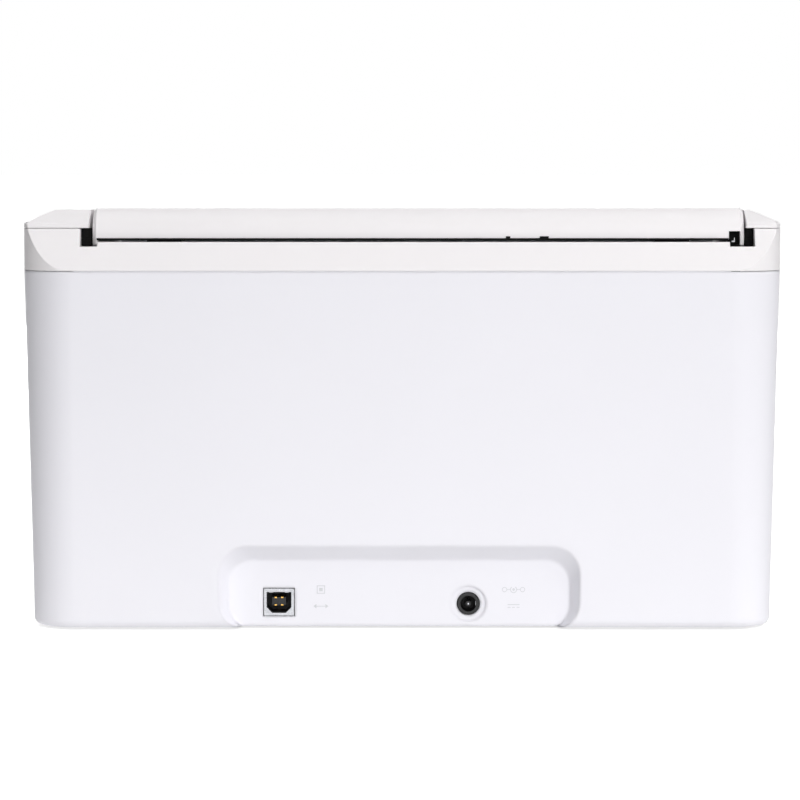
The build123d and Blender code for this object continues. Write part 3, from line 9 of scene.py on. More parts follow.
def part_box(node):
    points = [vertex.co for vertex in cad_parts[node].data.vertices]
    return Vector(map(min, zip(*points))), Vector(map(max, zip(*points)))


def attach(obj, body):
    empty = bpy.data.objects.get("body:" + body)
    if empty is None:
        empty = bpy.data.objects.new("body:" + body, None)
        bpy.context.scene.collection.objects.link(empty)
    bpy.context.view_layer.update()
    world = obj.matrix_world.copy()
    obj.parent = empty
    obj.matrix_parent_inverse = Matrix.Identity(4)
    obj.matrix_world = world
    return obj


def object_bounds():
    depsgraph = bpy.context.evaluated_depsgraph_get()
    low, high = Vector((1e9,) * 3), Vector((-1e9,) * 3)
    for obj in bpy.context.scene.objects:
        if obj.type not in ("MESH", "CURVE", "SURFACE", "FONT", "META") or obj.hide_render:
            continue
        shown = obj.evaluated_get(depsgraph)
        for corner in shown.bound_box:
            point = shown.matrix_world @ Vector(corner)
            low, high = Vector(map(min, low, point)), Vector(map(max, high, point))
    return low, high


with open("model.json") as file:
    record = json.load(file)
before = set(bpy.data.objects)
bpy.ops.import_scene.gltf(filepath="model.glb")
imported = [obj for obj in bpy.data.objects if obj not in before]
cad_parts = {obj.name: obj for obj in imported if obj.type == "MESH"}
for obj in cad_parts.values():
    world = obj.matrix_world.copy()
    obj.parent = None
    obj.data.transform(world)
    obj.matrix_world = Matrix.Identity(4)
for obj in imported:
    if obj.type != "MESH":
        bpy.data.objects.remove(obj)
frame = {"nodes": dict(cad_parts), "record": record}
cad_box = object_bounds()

# Document scanner seen from behind. Metres; +Y is the rear, +Z up, +X the side with the buttons. Left and
# right are as the picture shows them, so left is the side with the buttons.
mm = 0.001
nodes = frame["nodes"]
record = frame["record"]
mounts = {mount["name"]: mount for mount in record["mounts"]}
joints = {joint["name"]: joint for joint in record["behaviour"]["joints"]}

# Camera: behind the scanner, nearly square to it and a little above its lid. The rise is in degrees, and
# the pixel is the one that the picture has on the rear face.
picture_width = 800.0
focal_pixels = 3530.0
pixel_size = 0.396 * mm
rear_face = cad_box[1][1]
camera_rise = 4.0
view_distance = focal_pixels * pixel_size
aim_x = 0.85 * mm
aim_z = 92.5 * mm


def linear(colour):
    """sRGB hex colour as linear RGBA."""
    channels = [int(colour[start:start + 2], 16) / 255 for start in (0, 2, 4)]
    return (*[c / 12.92 if c <= 0.04045 else ((c + 0.055) / 1.055) ** 2.4 for c in channels], 1.0)


def add_node(tree, kind, settings=(), links=()):
    """Shader node with its settings, as socket values or properties, and its incoming links."""
    node = tree.nodes.new(kind)
    for name, value in dict(settings).items():
        if name in node.inputs:
            node.inputs[name].default_value = value
        else:
            setattr(node, name, value)
    for name, source in dict(links).items():
        tree.links.new(source, node.inputs[name])
    return node


def worked_surface(name, colours, roughness, blotch, grain, depth, edge, stretch=(1, 1, 1), **sockets):
    """Material whose tone and gloss drift over blotches, with a fine grain in relief and softened edges.

    Blotch and grain are the patterns' sizes, depth is the grain's height and edge the radius of the edges.
    """
    material = bpy.data.materials.new(name)
    material.use_nodes = True
    tree = material.node_tree
    shader = tree.nodes["Principled BSDF"]
    for socket, value in sockets.items():
        shader.inputs[socket.replace("_", " ")].default_value = value
    place = add_node(tree, "ShaderNodeTexCoord").outputs["Object"]
    drawn = add_node(tree, "ShaderNodeMapping", {"Scale": stretch}, {"Vector": place}).outputs["Vector"]
    drift = add_node(tree, "ShaderNodeTexNoise", {"Scale": 1 / blotch, "Detail": 2.0}, {"Vector": drawn})
    tone = add_node(tree, "ShaderNodeMixRGB", {"Color1": linear(colours[0]), "Color2": linear(colours[1])},
                    {"Fac": drift.outputs["Fac"]})
    sheen = add_node(tree, "ShaderNodeTexNoise", {"Scale": 4 / blotch, "Detail": 3.0}, {"Vector": drawn})
    gloss = add_node(tree, "ShaderNodeMapRange", {"To Min": roughness[0], "To Max": roughness[1]},
                     {"Value": sheen.outputs["Fac"]})
    grit = add_node(tree, "ShaderNodeTexNoise", {"Scale": 1 / grain, "Detail": 3.0}, {"Vector": drawn})
    rounded = add_node(tree, "ShaderNodeBevel", {"samples": 4, "Radius": edge})
    relief = add_node(tree, "ShaderNodeBump", {"Distance": depth},
                      {"Height": grit.outputs["Fac"], "Normal": rounded.outputs["Normal"]})
    tree.links.new(tone.outputs["Color"], shader.inputs["Base Color"])
    tree.links.new(gloss.outputs["Result"], shader.inputs["Roughness"])
    tree.links.new(relief.outputs["Normal"], shader.inputs["Normal"])
    return material


# Moulded grit, ground lines, fibres and pores are 0.02 to 0.05 mm in life. That is too fine to show, so
# each of them is drawn about ten times as coarse.

# Pale ABS moulded in a spark-eroded tool: an even matt skin, faintly blue, with soft edges
case_abs = worked_surface(
    "case_abs_spark_textured", ("EDECF2", "F0EFF5"), roughness=(0.44, 0.54), blotch=60 * mm,
    grain=0.5 * mm, depth=0.012 * mm, edge=0.5 * mm, IOR=1.53,
)
# Rear cover: the same moulding, with the generous radii round its connector recess
rear_abs = worked_surface(
    "rear_abs_spark_textured", ("EDECF2", "F0EFF5"), roughness=(0.44, 0.54), blotch=60 * mm,
    grain=0.5 * mm, depth=0.012 * mm, edge=2.2 * mm, IOR=1.53,
)
# The same ABS from another batch, a trace warmer, on the shoulder, arms and lid
top_abs = worked_surface(
    "top_abs_spark_textured", ("F0EDEF", "F3F0F1"), roughness=(0.44, 0.54), blotch=60 * mm,
    grain=0.5 * mm, depth=0.012 * mm, edge=0.5 * mm, IOR=1.53,
)
# Base of the same plastic from a plainer tool: greyer, with slow flow marks
base_abs = worked_surface(
    "base_abs_moulded", ("DADADD", "E0E0E3"), roughness=(0.5, 0.62), blotch=25 * mm,
    grain=0.6 * mm, depth=0.015 * mm, edge=0.5 * mm, IOR=1.53,
)
# Tray parts, where paper slides: light grey ABS, smoother, with soft sheen
tray_abs = worked_surface(
    "tray_abs_moulded", ("D3D4D8", "D8D9DD"), roughness=(0.34, 0.42), blotch=40 * mm,
    grain=0.5 * mm, depth=0.008 * mm, edge=0.4 * mm, IOR=1.53,
)
# Paper guides and sensor housings: black ABS, satin, with polished streaks along the sheet's way
guide_abs = worked_surface(
    "guide_abs_black", ("15161A", "191A1D"), roughness=(0.32, 0.48), blotch=18 * mm,
    grain=0.6 * mm, depth=0.01 * mm, edge=0.4 * mm, stretch=(1, 0.3, 0.3), IOR=1.53,
)
# Connector bodies: black glass-filled PBT, whose fibres leave a fine mottle
connector_pbt = worked_surface(
    "connector_pbt_black", ("060607", "0C0C0E"), roughness=(0.5, 0.65), blotch=2 * mm,
    grain=0.25 * mm, depth=0.008 * mm, edge=0.15 * mm, IOR=1.45,
)
# Keys: grey ABS from a polished tool, glossy with the faint waviness of a moulded face
key_abs = worked_surface(
    "key_abs_polished", ("96989E", "9EA0A6"), roughness=(0.14, 0.22), blotch=6 * mm,
    grain=3 * mm, depth=0.02 * mm, edge=0.3 * mm, IOR=1.53,
)
# Side frames: zinc-plated sheet steel, pale with the rolling lines along it
frame_steel = worked_surface(
    "frame_steel_zinc_plated", ("A4A6AB", "C4C6CA"), roughness=(0.3, 0.42), blotch=2 * mm,
    grain=0.25 * mm, depth=0.004 * mm, edge=0.2 * mm, stretch=(1, 1, 0.08), Metallic=1.0,
)
# Shafts: drawn and centreless ground, bright with fine lines round them
shaft_steel = worked_surface(
    "shaft_steel_ground", ("B4B6BA", "D0D2D6"), roughness=(0.12, 0.22), blotch=1 * mm,
    grain=0.2 * mm, depth=0.003 * mm, edge=0.2 * mm, stretch=(1, 0.06, 0.06), Metallic=1.0,
)
# Motor can: deep-drawn steel, greyer, with draw marks along its length
motor_steel = worked_surface(
    "motor_steel_deep_drawn", ("8C8E94", "B0B2B7"), roughness=(0.26, 0.4), blotch=3 * mm,
    grain=0.3 * mm, depth=0.006 * mm, edge=0.3 * mm, stretch=(0.08, 1, 1), Metallic=1.0,
)
# Socket shell: stamped and nickel-plated steel, bright where it faces the light
shell_nickel = worked_surface(
    "shell_nickel_plated", ("8F9094", "B4B5B8"), roughness=(0.2, 0.32), blotch=2 * mm,
    grain=0.2 * mm, depth=0.003 * mm, edge=0.15 * mm, stretch=(1, 0.1, 1), Metallic=1.0,
)
# Contacts: gold flash over nickel, soft yellow
contact_gold = worked_surface(
    "contact_gold_flashed", ("C79A4A", "D9B062"), roughness=(0.2, 0.3), blotch=1 * mm,
    grain=0.2 * mm, depth=0.002 * mm, edge=0.05 * mm, Metallic=1.0,
)
# Bushes: sintered bronze, brown with dark oil-filled pores
bush_bronze = worked_surface(
    "bush_bronze_sintered", ("7E5A30", "B48450"), roughness=(0.4, 0.55), blotch=0.8 * mm,
    grain=0.25 * mm, depth=0.02 * mm, edge=0.15 * mm, Metallic=1.0,
)
# Screws: steel with black zinc-nickel plating, dark with a dull shine
screw_steel = worked_surface(
    "screw_steel_blackened", ("2C2D30", "3E3F43"), roughness=(0.3, 0.42), blotch=1.5 * mm,
    grain=0.3 * mm, depth=0.006 * mm, edge=0.1 * mm, Metallic=1.0,
)
# Tyres: rubber ground to size, dull black with fine pits and a grey bloom
drive_rubber = worked_surface(
    "tyre_rubber_ground", ("202023", "303034"), roughness=(0.68, 0.85), blotch=3 * mm,
    grain=0.35 * mm, depth=0.04 * mm, edge=0.3 * mm, IOR=1.5,
)
# Separation roller: softer grey rubber, ground the same way
separation_rubber = worked_surface(
    "separation_rubber_ground", ("484A50", "5C5E64"), roughness=(0.7, 0.85), blotch=3 * mm,
    grain=0.35 * mm, depth=0.04 * mm, edge=0.3 * mm, IOR=1.5,
)
# Feet: moulded rubber, dark grey and even
foot_rubber = worked_surface(
    "foot_rubber_moulded", ("38383B", "464649"), roughness=(0.6, 0.75), blotch=4 * mm,
    grain=0.4 * mm, depth=0.02 * mm, edge=0.3 * mm, IOR=1.5,
)
# Gears and pinch rollers: unfilled acetal, waxy and slightly see-through, so thin teeth glow
gear_acetal = worked_surface(
    "gear_acetal_natural", ("E0DDD4", "EAE7DF"), roughness=(0.32, 0.42), blotch=5 * mm,
    grain=0.6 * mm, depth=0.006 * mm, edge=0.15 * mm, IOR=1.48, Subsurface_Weight=0.25,
    Subsurface_Scale=1.5 * mm,
)
# Painted shade: near-black and dull, with a fine grain, standing for the shadow in the lid's gaps and notches
shade_black = worked_surface(
    "painted_shade_dull_black", ("040405", "0A0A0B"), roughness=(0.85, 0.95), blotch=2 * mm,
    grain=0.4 * mm, depth=0.03 * mm, edge=0.1 * mm, IOR=1.3,
)
# Marks: pad-printed ink, a thin grey film that follows the skin below it
mark_ink = worked_surface(
    "mark_ink_printed", ("CFD0D5", "D8D9DD"), roughness=(0.45, 0.6), blotch=3 * mm,
    grain=0.5 * mm, depth=0.005 * mm, edge=0.05 * mm, IOR=1.5,
)
# Status lens: polycarbonate with a frosted face, which spreads the lamp behind it
lens_polycarbonate = worked_surface(
    "lens_polycarbonate_frosted", ("CFE0EE", "DDEAF4"), roughness=(0.3, 0.5), blotch=1 * mm,
    grain=0.3 * mm, depth=0.01 * mm, edge=0.2 * mm, IOR=1.58, Transmission_Weight=0.6,
)
# Sensor windows: thin float glass, clear with a green edge and a fine film of paper dust
sensor_glass = worked_surface(
    "sensor_float_glass", ("DCEBE4", "E6F1EC"), roughness=(0.02, 0.08), blotch=12 * mm,
    grain=8 * mm, depth=0.001 * mm, edge=0.1 * mm, IOR=1.52, Transmission_Weight=1.0,
)


def lacquered_board(name):
    """Glass-epoxy board: green lacquer over copper tracks that stand up a little, under a thin gloss."""
    track_tile = 9 * mm
    track_height = 0.03 * mm
    haze = 4 * mm
    material = bpy.data.materials.new(name)
    material.use_nodes = True
    tree = material.node_tree
    shader = tree.nodes["Principled BSDF"]
    shader.inputs["IOR"].default_value = 1.5
    shader.inputs["Coat Weight"].default_value = 0.3
    shader.inputs["Coat Roughness"].default_value = 0.15
    place = add_node(tree, "ShaderNodeTexCoord").outputs["Object"]
    tracks = add_node(
        tree, "ShaderNodeTexBrick",
        {"Scale": 1 / track_tile, "Mortar Size": 0.06, "Mortar Smooth": 0.1, "Brick Width": 0.9,
         "Row Height": 0.22, "Color1": linear("1F5A35"), "Color2": linear("235F3A"),
         "Mortar": linear("184A2B")},
        {"Vector": place},
    )
    cloth = add_node(tree, "ShaderNodeTexNoise", {"Scale": 1 / haze}, {"Vector": place})
    gloss = add_node(tree, "ShaderNodeMapRange", {"To Min": 0.3, "To Max": 0.42},
                     {"Value": cloth.outputs["Fac"]})
    relief = add_node(tree, "ShaderNodeBump", {"Distance": track_height}, {"Height": tracks.outputs["Fac"]})
    tree.links.new(tracks.outputs["Color"], shader.inputs["Base Color"])
    tree.links.new(gloss.outputs["Result"], shader.inputs["Roughness"])
    tree.links.new(relief.outputs["Normal"], shader.inputs["Normal"])
    return material


board_fr4 = lacquered_board("board_fr4_lacquered")

finishes = {
    rear_abs: ("rear_cover",),
    case_abs: ("side_cover_left", "side_cover_right", "front_cover"),
    top_abs: ("upper_frame", "arm_cap_left", "arm_cap_right", "lid_cover"),
    base_abs: ("base_chassis", "cover_latch"),
    tray_abs: ("tray_plate", "tray_extension_outer", "tray_extension_inner"),
    guide_abs: ("rear_paper_guide", "exit_chute", "sensor_module_rear", "sensor_module_front",
                "front_cover_guide", "edge_guide_left", "edge_guide_right", "output_tray", "output_extension",
                "output_stop", "paper_sensor_flag"),
    connector_pbt: ("data_socket_insert", "power_inlet"),
    key_abs: ("scan_button", "power_button"),
    frame_steel: ("side_frame_left", "side_frame_right"),
    shaft_steel: ("pick_shaft", "feed_shaft", "exit_shaft", "lid_pivot_pins", "door_hinge_pins"),
    motor_steel: ("drive_motor",),
    shell_nickel: ("data_socket_shell",),
    bush_bronze: ("roller_bushes",),
    drive_rubber: ("pick_tyre", "feed_tyres", "exit_tyres"),
    separation_rubber: ("separation_roller",),
    foot_rubber: ("rubber_feet",),
    gear_acetal: ("pick_gear", "feed_gear", "exit_gear", "upper_idler_gear", "lower_idler_gear",
                  "motor_pinion", "guide_pinion", "feed_pinch_rollers", "exit_pinch_rollers"),
    board_fr4: ("main_board",),
    sensor_glass: ("sensor_glass_rear", "sensor_glass_front"),
    lens_polycarbonate: ("status_lens",),
}
for finish, names in finishes.items():
    for name in names:
        nodes[name].data.materials.clear()
        nodes[name].data.materials.append(finish)


def add_block(work, low, high, edge=0.1):
    """Adds a box between two corners, in millimetres, with bevelled edges."""
    size = Vector(high) - Vector(low)
    middle = (Vector(high) + Vector(low)) / 2
    matrix = Matrix.Translation(middle * mm) @ Matrix.Diagonal((*(size * mm), 1.0))
    made = bmesh.ops.create_cube(work, size=1.0, matrix=matrix)["verts"]
    edges = list({line for vert in made for line in vert.link_edges})
    bmesh.ops.bevel(work, geom=edges, offset=edge * mm, affect="EDGES", segments=2, profile=0.5, material=-1)


def add_turning(work, place, direction, outline, steps=32):
    """Adds a solid turned about an axis, from pairs of radius and distance along the axis, in millimetres."""
    axis = Vector(direction).normalized()
    side = axis.orthogonal().normalized()
    centre = Vector(place) * mm
    verts = [work.verts.new(centre + (side * radius + axis * along) * mm) for radius, along in outline]
    lines = [work.edges.new(pair) for pair in zip(verts, verts[1:])]
    bmesh.ops.spin(work, geom=verts + lines, cent=centre, axis=axis, angle=2 * pi, steps=steps,
                   use_merge=True)


def add_plate(work, corners, offset):
    """Adds a flat outline, given as points in millimetres, raised by an offset."""
    face = work.faces.new([work.verts.new(Vector(corner) * mm) for corner in corners])
    raised = bmesh.ops.extrude_face_region(work, geom=[face])["geom"]
    moved = [part for part in raised if isinstance(part, bmesh.types.BMVert)]
    bmesh.ops.translate(work, verts=moved, vec=Vector(offset) * mm)


def add_arc(work, place, radius, width, raise_y, sweep=360.0, steps=24):
    """Adds a flat ring in an upright plane, with its gap at the top where the sweep isn't a full turn."""
    centre = Vector(place) * mm
    start = radians(180.0 - sweep / 2)
    along = Vector((sin(start), 0, cos(start)))
    inner, outer = (centre + along * (radius + step * width / 2) * mm for step in (-1, 1))
    rise = Vector((0, raise_y * mm, 0))
    face = work.faces.new([work.verts.new(point) for point in (inner, outer, outer + rise, inner + rise)])
    section = [*face.edges, *face.verts]
    full = sweep == 360.0
    if full:
        work.faces.remove(face)
    else:
        section.append(face)
    bmesh.ops.spin(work, geom=section, cent=centre, axis=(0, 1, 0), angle=radians(sweep), steps=steps,
                   use_merge=full)


def make_piece(name, work, finish, body):
    """Object from a bmesh, with closed seams, outward faces and its finish, riding on a body."""
    weld_distance = 0.0005 * mm
    bmesh.ops.remove_doubles(work, verts=work.verts, dist=weld_distance)
    bmesh.ops.recalc_face_normals(work, faces=work.faces)
    mesh = bpy.data.meshes.new(name)
    work.to_mesh(mesh)
    work.free()
    mesh.materials.append(finish)
    piece = bpy.data.objects.new(name, mesh)
    bpy.context.scene.collection.objects.link(piece)
    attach(piece, body)


def place_mm(item):
    """Place of a joint or mount, in millimetres."""
    return [place / mm for place in item["pos_m"]]


def box_mm(node):
    """Lowest and highest corners of a CAD node, in millimetres."""
    return [[place / mm for place in corner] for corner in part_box(node)]


# The pieces below are in millimetres. Overlap is how far a block reaches into its neighbour, or past an edge
# that it closes.
overlap = 0.1
lid_low, lid_high = box_mm("lid_cover")
upper_low, upper_high = box_mm("upper_frame")
rear_high = box_mm("rear_cover")[1]

# Painted shade in the gap at the lid's rear edge: a black strip along its barrel that closes the gap over the
# rim, with two raised tabs in the notches of the lid's edge, standing for the shadow there. It ends at the
# relief beside the lid's right lug.
relief_x = lid_low[0] + 3.9
relief_half = 2.25
relief_play = 0.05
barrel_radius = 11.4
gap_shade_rear = place_mm(joints["lid_hinge"])[1] + barrel_radius + 0.1
gap_shade_front = gap_shade_rear - 0.6
gap_shade_left = lid_high[0] - 1.7
gap_shade_right = relief_x + relief_half + relief_play
lid_edge = 155.5
gap_shade_top = lid_edge + 0.75
tab_root = lid_edge + 0.6
tab_top = lid_edge + 1.5
tab_rear = gap_shade_rear + 0.02
gap_shade_bevel = 0.05
gap_shade_mesh = bmesh.new()
add_block(gap_shade_mesh, (gap_shade_right, gap_shade_front, lid_edge - overlap), (gap_shade_left, gap_shade_rear, gap_shade_top), gap_shade_bevel)
for tab_x, tab_width in ((-42.2, 1.8), (-56.6, 3.6)):
    add_block(gap_shade_mesh, (tab_x - tab_width / 2, gap_shade_front, tab_root),
              (tab_x + tab_width / 2, tab_rear, tab_top), gap_shade_bevel)
make_piece("lid_gap_painted_shade", gap_shade_mesh, shade_black, "lid")

# Painted shade in the notches at the lid's ends: black blocks, each a wall and a lower step on its rear side
notch_floor = 153.1
notch_gap = 0.55
wall_front = 66.3
wall_rear = 71.5
step_rear = 72.6
step_top = 156.0
notch_shade_bevel = 0.2
left_width = 3.8
right_width = 3.0
left_start = lid_high[0] + notch_gap
right_start = lid_low[0] - notch_gap - right_width
for side, start_x, width in (("left", left_start, left_width), ("right", right_start, right_width)):
    end_x = start_x + width
    notch_shade_mesh = bmesh.new()
    add_block(notch_shade_mesh, (start_x, wall_front, notch_floor), (end_x, wall_rear, upper_high[2]), notch_shade_bevel)
    add_block(notch_shade_mesh, (start_x, wall_rear - overlap, notch_floor), (end_x, step_rear, step_top), notch_shade_bevel)
    make_piece(f"pivot_notch_shade_{side}", notch_shade_mesh, shade_black, "case")

# Relief beside the lid's right lug: a black block of painted shade that stands for its shadow, and the bent
# clip that holds the pivot pin
relief_shade_half = relief_half - relief_play
relief_shade_front = 66.0
relief_shade_rear = 69.0
relief_shade_low = 153.55
relief_shade_top = 159.3
relief_shade_mesh = bmesh.new()
add_block(relief_shade_mesh, (relief_x - relief_shade_half, relief_shade_front, relief_shade_low),
          (relief_x + relief_shade_half, relief_shade_rear, relief_shade_top))
make_piece("relief_painted_shade", relief_shade_mesh, shade_black, "lid")
clip_front = relief_shade_rear - overlap
foot_start = relief_x - 0.7
foot_end = relief_x + 0.9
foot_rear = relief_shade_rear + 0.5
foot_low = 154.4
foot_top = 155.3
foot_edge = 0.25
arm_start = relief_x - 0.6
arm_end = relief_x - 0.1
arm_rear = relief_shade_rear + 0.3
arm_low = 155.1
arm_top = 156.4
arm_edge = 0.15
clip = bmesh.new()
add_block(clip, (foot_start, clip_front, foot_low), (foot_end, foot_rear, foot_top), foot_edge)
add_block(clip, (arm_start, clip_front, arm_low), (arm_end, arm_rear, arm_top), arm_edge)
make_piece("pivot_clip", clip, shell_nickel, "lid")

# Tongue of the rear cover inside its seam to the upper frame, which keeps the seam light
seam_half = 130.0
tongue_rear = rear_high[1] - 0.28
tongue_thickness = 0.82
tongue_edge = 0.05
seam = bmesh.new()
add_block(seam, (-seam_half, tongue_rear - tongue_thickness, rear_high[2] - overlap),
          (seam_half, tongue_rear, upper_low[2] + overlap), tongue_edge)
make_piece("seam_tongue", seam, case_abs, "case")

# Data socket: four contacts along its tongue, bent round the tongue's end
socket_x, _, socket_z = place_mm(mounts["data_socket"])
insert_high = box_mm("data_socket_insert")[1]
tongue_z = socket_z + 0.3
tongue_half = 1.6
contact_spacing = 2.6
contact_width = 0.9
contact_root = 68.0
contact_rise = 0.15
contact_bend = 0.35
contact_edge = 0.04
bend_start = insert_high[1] - contact_bend
contact_end = insert_high[1] + 0.1
contacts = bmesh.new()
for across in (-contact_spacing / 2, contact_spacing / 2):
    start_x = socket_x + across - contact_width / 2
    end_x = socket_x + across + contact_width / 2
    for side in (-1, 1):
        face = tongue_z + side * tongue_half
        low, high = sorted((face, face + side * contact_rise))
        add_block(contacts, (start_x, contact_root, low), (end_x, bend_start + overlap, high), contact_edge)
        low, high = sorted((face - side * contact_bend, face + side * contact_rise))
        add_block(contacts, (start_x, bend_start, low), (end_x, contact_end, high), contact_edge)
make_piece("socket_contacts", contacts, contact_gold, "case")

# Two sprung leaves of the socket's shell, folded in at the top of its mouth
leaf_spacing = 6.2
leaf_width = 1.6
leaf_thickness = 0.2
leaf_front = 70.0
leaf_rear = 76.2
leaf_front_z = insert_high[2] - 0.3
leaf_rear_z = insert_high[2] - 0.05
leaves = bmesh.new()
for across in (-leaf_spacing / 2, leaf_spacing / 2):
    start_x = socket_x + across - leaf_width / 2
    add_plate(leaves, [(start_x, leaf_rear, leaf_rear_z), (start_x, leaf_front, leaf_front_z),
                       (start_x, leaf_front, leaf_front_z - leaf_thickness),
                       (start_x, leaf_rear, leaf_rear_z - leaf_thickness)], (leaf_width, 0, 0))
make_piece("socket_leaves", leaves, shell_nickel, "case")

# Power inlet: plated centre pin with a round tip, and the sprung contact beside it
inlet_x, _, inlet_z = place_mm(mounts["power_inlet_pin"])
pin_root = 66.5
pin_radius = 1.1
pin_outline = [(0, pin_root), (pin_radius, pin_root), (pin_radius, 75.3), (1.0, 75.85), (0.75, 76.15),
               (0.4, 76.34), (0, 76.4)]
spring_x = inlet_x - 3.0
spring_front = 67.0
spring_rear = 75.2
spring_thickness = 0.3
spring_width = 1.8
pin = bmesh.new()
add_turning(pin, (inlet_x, 0.0, inlet_z), (0, 1, 0), pin_outline)
add_block(pin, (spring_x - spring_thickness / 2, spring_front, inlet_z - spring_width / 2),
          (spring_x + spring_thickness / 2, spring_rear, inlet_z + spring_width / 2))
make_piece("inlet_pin", pin, shell_nickel, "case")

# Generic pictograms beside the ports, a film of ink on the recess wall: a square plug over two arrows for
# data, and a round plug with its two poles over a direct current sign for power
recess_depth = 9.5
ink = 0.06
ink_front = rear_high[1] - recess_depth - 0.01
ink_line = 0.3
film_edge = 0.01
data_x = 32.5
power_x = -44.6
upper_z = 15.8
lower_z = 9.1


def add_bar(work, centre_x, centre_z, width, height):
    """Adds a printed bar to the recess wall."""
    add_block(work, (centre_x - width / 2, ink_front, centre_z - height / 2),
              (centre_x + width / 2, ink_front + ink, centre_z + height / 2), film_edge)


marks = bmesh.new()
plug_side = 3.0
plug_core = 1.4
add_bar(marks, data_x, upper_z, plug_core, plug_core)
for side in (-1, 1):
    add_bar(marks, data_x + side * plug_side / 2, upper_z, ink_line, plug_side)
    add_bar(marks, data_x, upper_z + side * plug_side / 2, plug_side + ink_line, ink_line)
arrow_tip = 3.0
arrow_root = 1.8
arrow_half = 0.9
add_bar(marks, data_x, lower_z, 2 * (arrow_root + overlap), ink_line)
for side in (-1, 1):
    root = data_x + side * arrow_root
    add_plate(marks, [(data_x + side * arrow_tip, ink_front, lower_z),
                      (root, ink_front, lower_z - arrow_half),
                      (root, ink_front, lower_z + arrow_half)], (0, ink, 0))
plug_radius = 1.25
dot_radius = 0.3
dot_line = 0.4
pole_offset = 3.6
pole_radius = 0.9
pole_line = 0.25
link_offset = 2.0
link_length = 1.4
link_line = 0.24
open_sweep = 290.0
add_arc(marks, (power_x, ink_front, upper_z), plug_radius, ink_line, ink, sweep=open_sweep)
add_arc(marks, (power_x, ink_front, upper_z), dot_radius, dot_line, ink)
for side in (-1, 1):
    add_arc(marks, (power_x + side * pole_offset, ink_front, upper_z), pole_radius, pole_line, ink)
    add_bar(marks, power_x + side * link_offset, upper_z, link_length, link_line)
full_line_z = lower_z + 0.65
full_line_length = 4.8
dash_z = lower_z - 0.45
dash_length = 1.2
dash_spacing = 1.8
add_bar(marks, power_x, full_line_z, full_line_length, ink_line)
for step in (-1, 0, 1):
    add_bar(marks, power_x + step * dash_spacing, dash_z, dash_length, ink_line)
make_piece("port_marks", marks, mark_ink, "case")

# Signs printed on the two keys below the status lens: the standby ring with its bar, and a triangle for
# start. Each film starts about 0.02 mm inside its key's face.
lens_low, lens_high = box_mm("status_lens")
power_low, power_high = box_mm("power_button")
scan_low, scan_high = box_mm("scan_button")
key_x = (lens_low[0] + lens_high[0]) / 2
key_ink = 0.08
power_z = (power_low[2] + power_high[2]) / 2
power_face = -84.86
ring_radius = 1.7
ring_line = 0.35
bar_half = 0.17
bar_low = power_z + 0.6
bar_top = power_z + 2.3
sign = bmesh.new()
add_arc(sign, (key_x, power_face, power_z), ring_radius, ring_line, -key_ink, sweep=open_sweep)
add_block(sign, (key_x - bar_half, power_face - key_ink, bar_low), (key_x + bar_half, power_face, bar_top),
          2 * film_edge)
make_piece("power_mark", sign, mark_ink, "power_key")
scan_z = (scan_low[2] + scan_high[2]) / 2
scan_face = -85.31
triangle_root = key_x + 1.3
triangle_tip = key_x - 1.5
triangle_half = 1.6
sign = bmesh.new()
add_plate(sign, [(triangle_root, scan_face, scan_z + triangle_half),
                 (triangle_root, scan_face, scan_z - triangle_half),
                 (triangle_tip, scan_face, scan_z)], (0, -key_ink, 0))
make_piece("scan_mark", sign, mark_ink, "scan_key")

# Grip ribs on the latch of the front cover
latch_low, latch_high = box_mm("cover_latch")
grip_first = 90.0
grip_pitch = 3.0
grip_count = 6
grip_width = 1.0
grip_rise = 0.5
grip_root = 0.2
grip_margin = 0.9
grip_edge = 0.3
ribs = bmesh.new()
for count in range(grip_count):
    middle_x = grip_first + count * grip_pitch
    add_block(ribs, (middle_x - grip_width / 2, latch_low[1] - grip_rise, latch_low[2] + grip_margin),
              (middle_x + grip_width / 2, latch_low[1] + grip_root, latch_high[2] - grip_margin), grip_edge)
make_piece("latch_ribs", ribs, base_abs, "door_latch")

# Low ribs on both walls of the hopper, along the sheet's way, clear of the rollers and the sensor flag. Each
# wall is a line of depth and height from its start to its end, and its ribs rise to the left of that line.
rib_width = 1.6
rib_rise = 0.6
rib_root = 0.2
rib_ramp = 2.0
rib_places = (-112, -94, -76, -58, -40, 28, 46, 70, 88, 106)
for name, body, start, end in (
    ("rear_guide_ribs", "case", (29.68, 114.0), (46.83, 138.5)),
    ("front_guide_ribs", "front_door", (-52.0, 144.79), (12.0, 117.42)),
):
    rails = bmesh.new()
    low, high = Vector((0, *start)), Vector((0, *end))
    run = (high - low).normalized()
    out = Vector((0, -run.z, run.y))
    outline = [low - out * rib_root, low + run * rib_ramp + out * rib_rise,
               high - run * rib_ramp + out * rib_rise, high - out * rib_root]
    for place in rib_places:
        shift = Vector((place - rib_width / 2, 0, 0))
        add_plate(rails, [point + shift for point in outline], (rib_width, 0, 0))
    make_piece(name, rails, guide_abs, body)

# Screws under the base: pan heads with a round recess for the driver
head_seat = box_mm("base_chassis")[0][2] + 0.02
head_outline = [(0, 0.3), (1.1, 0.3), (1.3, 0.7), (1.5, 0.8), (2.3, 0.8), (2.7, 0.55), (2.8, 0.0), (0, 0.0)]
screw_x = 118.0
rear_row = 62.0
front_row = -66.0
screws = bmesh.new()
for place_x, place_y in ((-screw_x, rear_row), (screw_x, rear_row), (-screw_x, front_row), (0.0, front_row),
                         (screw_x, front_row)):
    add_turning(screws, (place_x, place_y, head_seat), (0, 0, -1), head_outline, steps=24)
make_piece("base_screws", screws, screw_steel, "case")


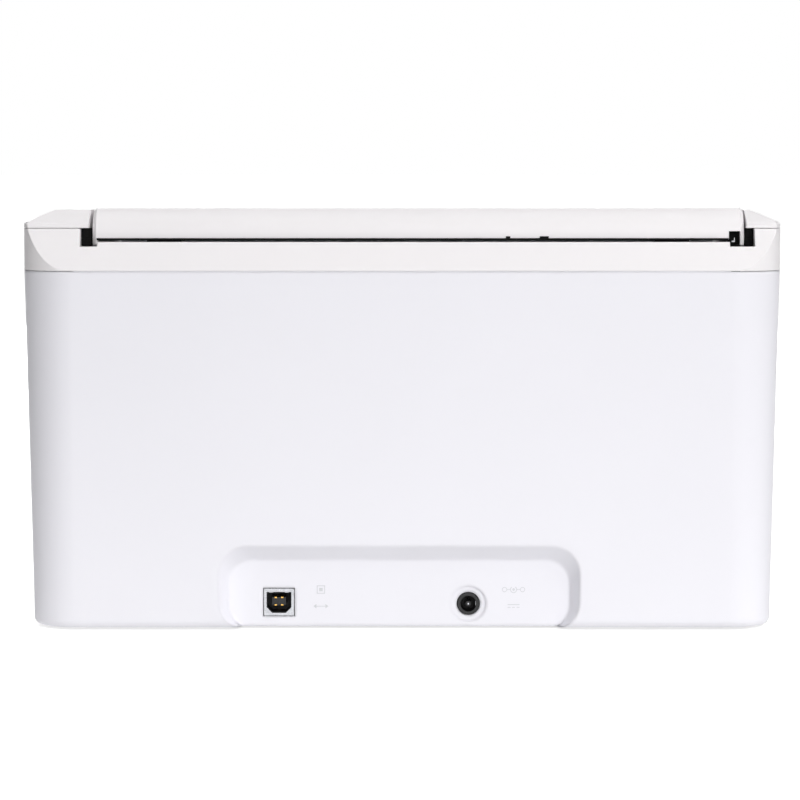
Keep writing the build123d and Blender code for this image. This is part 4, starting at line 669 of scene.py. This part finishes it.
# Stage, in metres: a plain pale floor and soft light. The floor is a light table: it glows a little, so
# that it stays white without a strong light from above, and throws none of it at the object, whose corners
# stay soft grey.
floor_size = 30.0
floor_gap = 0.05 * mm
floor_paint = worked_surface(
    "floor_matt_paint", ("FAFAFA", "FBFBFB"), roughness=(0.8, 0.9), blotch=1.0, grain=1 * mm,
    depth=0.01 * mm, edge=1 * mm, Specular_IOR_Level=0.0, Emission_Color=linear("FFFFFF"),
    Emission_Strength=0.67,
)
floor_mesh = bmesh.new()
bmesh.ops.create_grid(floor_mesh, x_segments=1, y_segments=1, size=floor_size,
                      matrix=Matrix.Translation((0, 0, -floor_gap)))
floor_data = bpy.data.meshes.new("floor")
floor_mesh.to_mesh(floor_data)
floor_mesh.free()
floor_data.materials.append(floor_paint)
floor = bpy.data.objects.new("floor", floor_data)
floor.visible_diffuse = False
bpy.context.scene.collection.objects.link(floor)


def light_studio():
    """White backdrop for the camera, with a faint even light for the object."""
    world = bpy.data.worlds.new("studio")
    bpy.context.scene.world = world
    world.use_nodes = True
    tree = world.node_tree
    tree.nodes.clear()
    seen = add_node(tree, "ShaderNodeLightPath").outputs["Is Camera Ray"]
    strength = add_node(tree, "ShaderNodeMapRange", {"To Min": 0.1, "To Max": 1.0}, {"Value": seen})
    sky = add_node(tree, "ShaderNodeBackground", {"Color": linear("FFFFFF")},
                   {"Strength": strength.outputs["Result"]})
    add_node(tree, "ShaderNodeOutputWorld", links={"Surface": sky.outputs["Background"]})


def add_light(name, kind, place, power, size=(1.0, 1.0), spread=0.0, aim=(0.0, 0.0, 0.08)):
    """Softbox, or a wide sun, turned towards its aim, which is the object's middle if none is given."""
    light = bpy.data.lights.new(name, kind)
    light.energy = power
    if kind == "AREA":
        light.shape = "RECTANGLE"
        light.size, light.size_y = size
    else:
        light.angle = radians(spread)
    lamp = bpy.data.objects.new(name, light)
    direction = Vector(aim) - Vector(place)
    lamp.visible_camera = False
    lamp.matrix_world = Matrix.Translation(place) @ direction.to_track_quat("-Z", "Y").to_matrix().to_4x4()
    bpy.context.scene.collection.objects.link(lamp)


# The low softbox lies on the floor behind the case and faces up, in place of the glow that the floor
# doesn't throw.
light_studio()
add_light("overhead_light", "SUN", (0.0, 0.05, 2.0), power=0.85, spread=60.0)
add_light("rear_softbox", "AREA", (-0.65, 2.2, 0.8), power=35.0, size=(1.6, 1.2))
add_light("upper_softbox", "AREA", (-1.2, 1.2, 1.6), power=9.0, size=(0.8, 0.6))
add_light("low_softbox", "AREA", (0.0, 0.271, 0.001), power=0.42, size=(0.6, 0.4), aim=(0.0, 0.271, 1.0))
add_light("front_softbox", "AREA", (0.2, -2.2, 1.0), power=36.0, size=(1.4, 1.2))
add_light("left_softbox", "AREA", (2.2, -0.2, 0.7), power=7.0, size=(1.2, 1.0))
add_light("right_softbox", "AREA", (-2.2, -0.2, 0.7), power=7.0, size=(1.2, 1.0))

camera_data = bpy.data.cameras.new("camera")
camera_data.sensor_width = 36.0
camera_data.lens = focal_pixels / picture_width * camera_data.sensor_width
camera = bpy.data.objects.new("camera", camera_data)
aim = Vector((aim_x, rear_face, aim_z))
eye = aim + view_distance * Vector((0, cos(radians(camera_rise)), sin(radians(camera_rise))))
camera.matrix_world = Matrix.Translation(eye) @ (aim - eye).to_track_quat("-Z", "Y").to_matrix().to_4x4()
bpy.context.scene.collection.objects.link(camera)
bpy.context.scene.camera = camera
bpy.context.scene.view_settings.view_transform = "Standard"
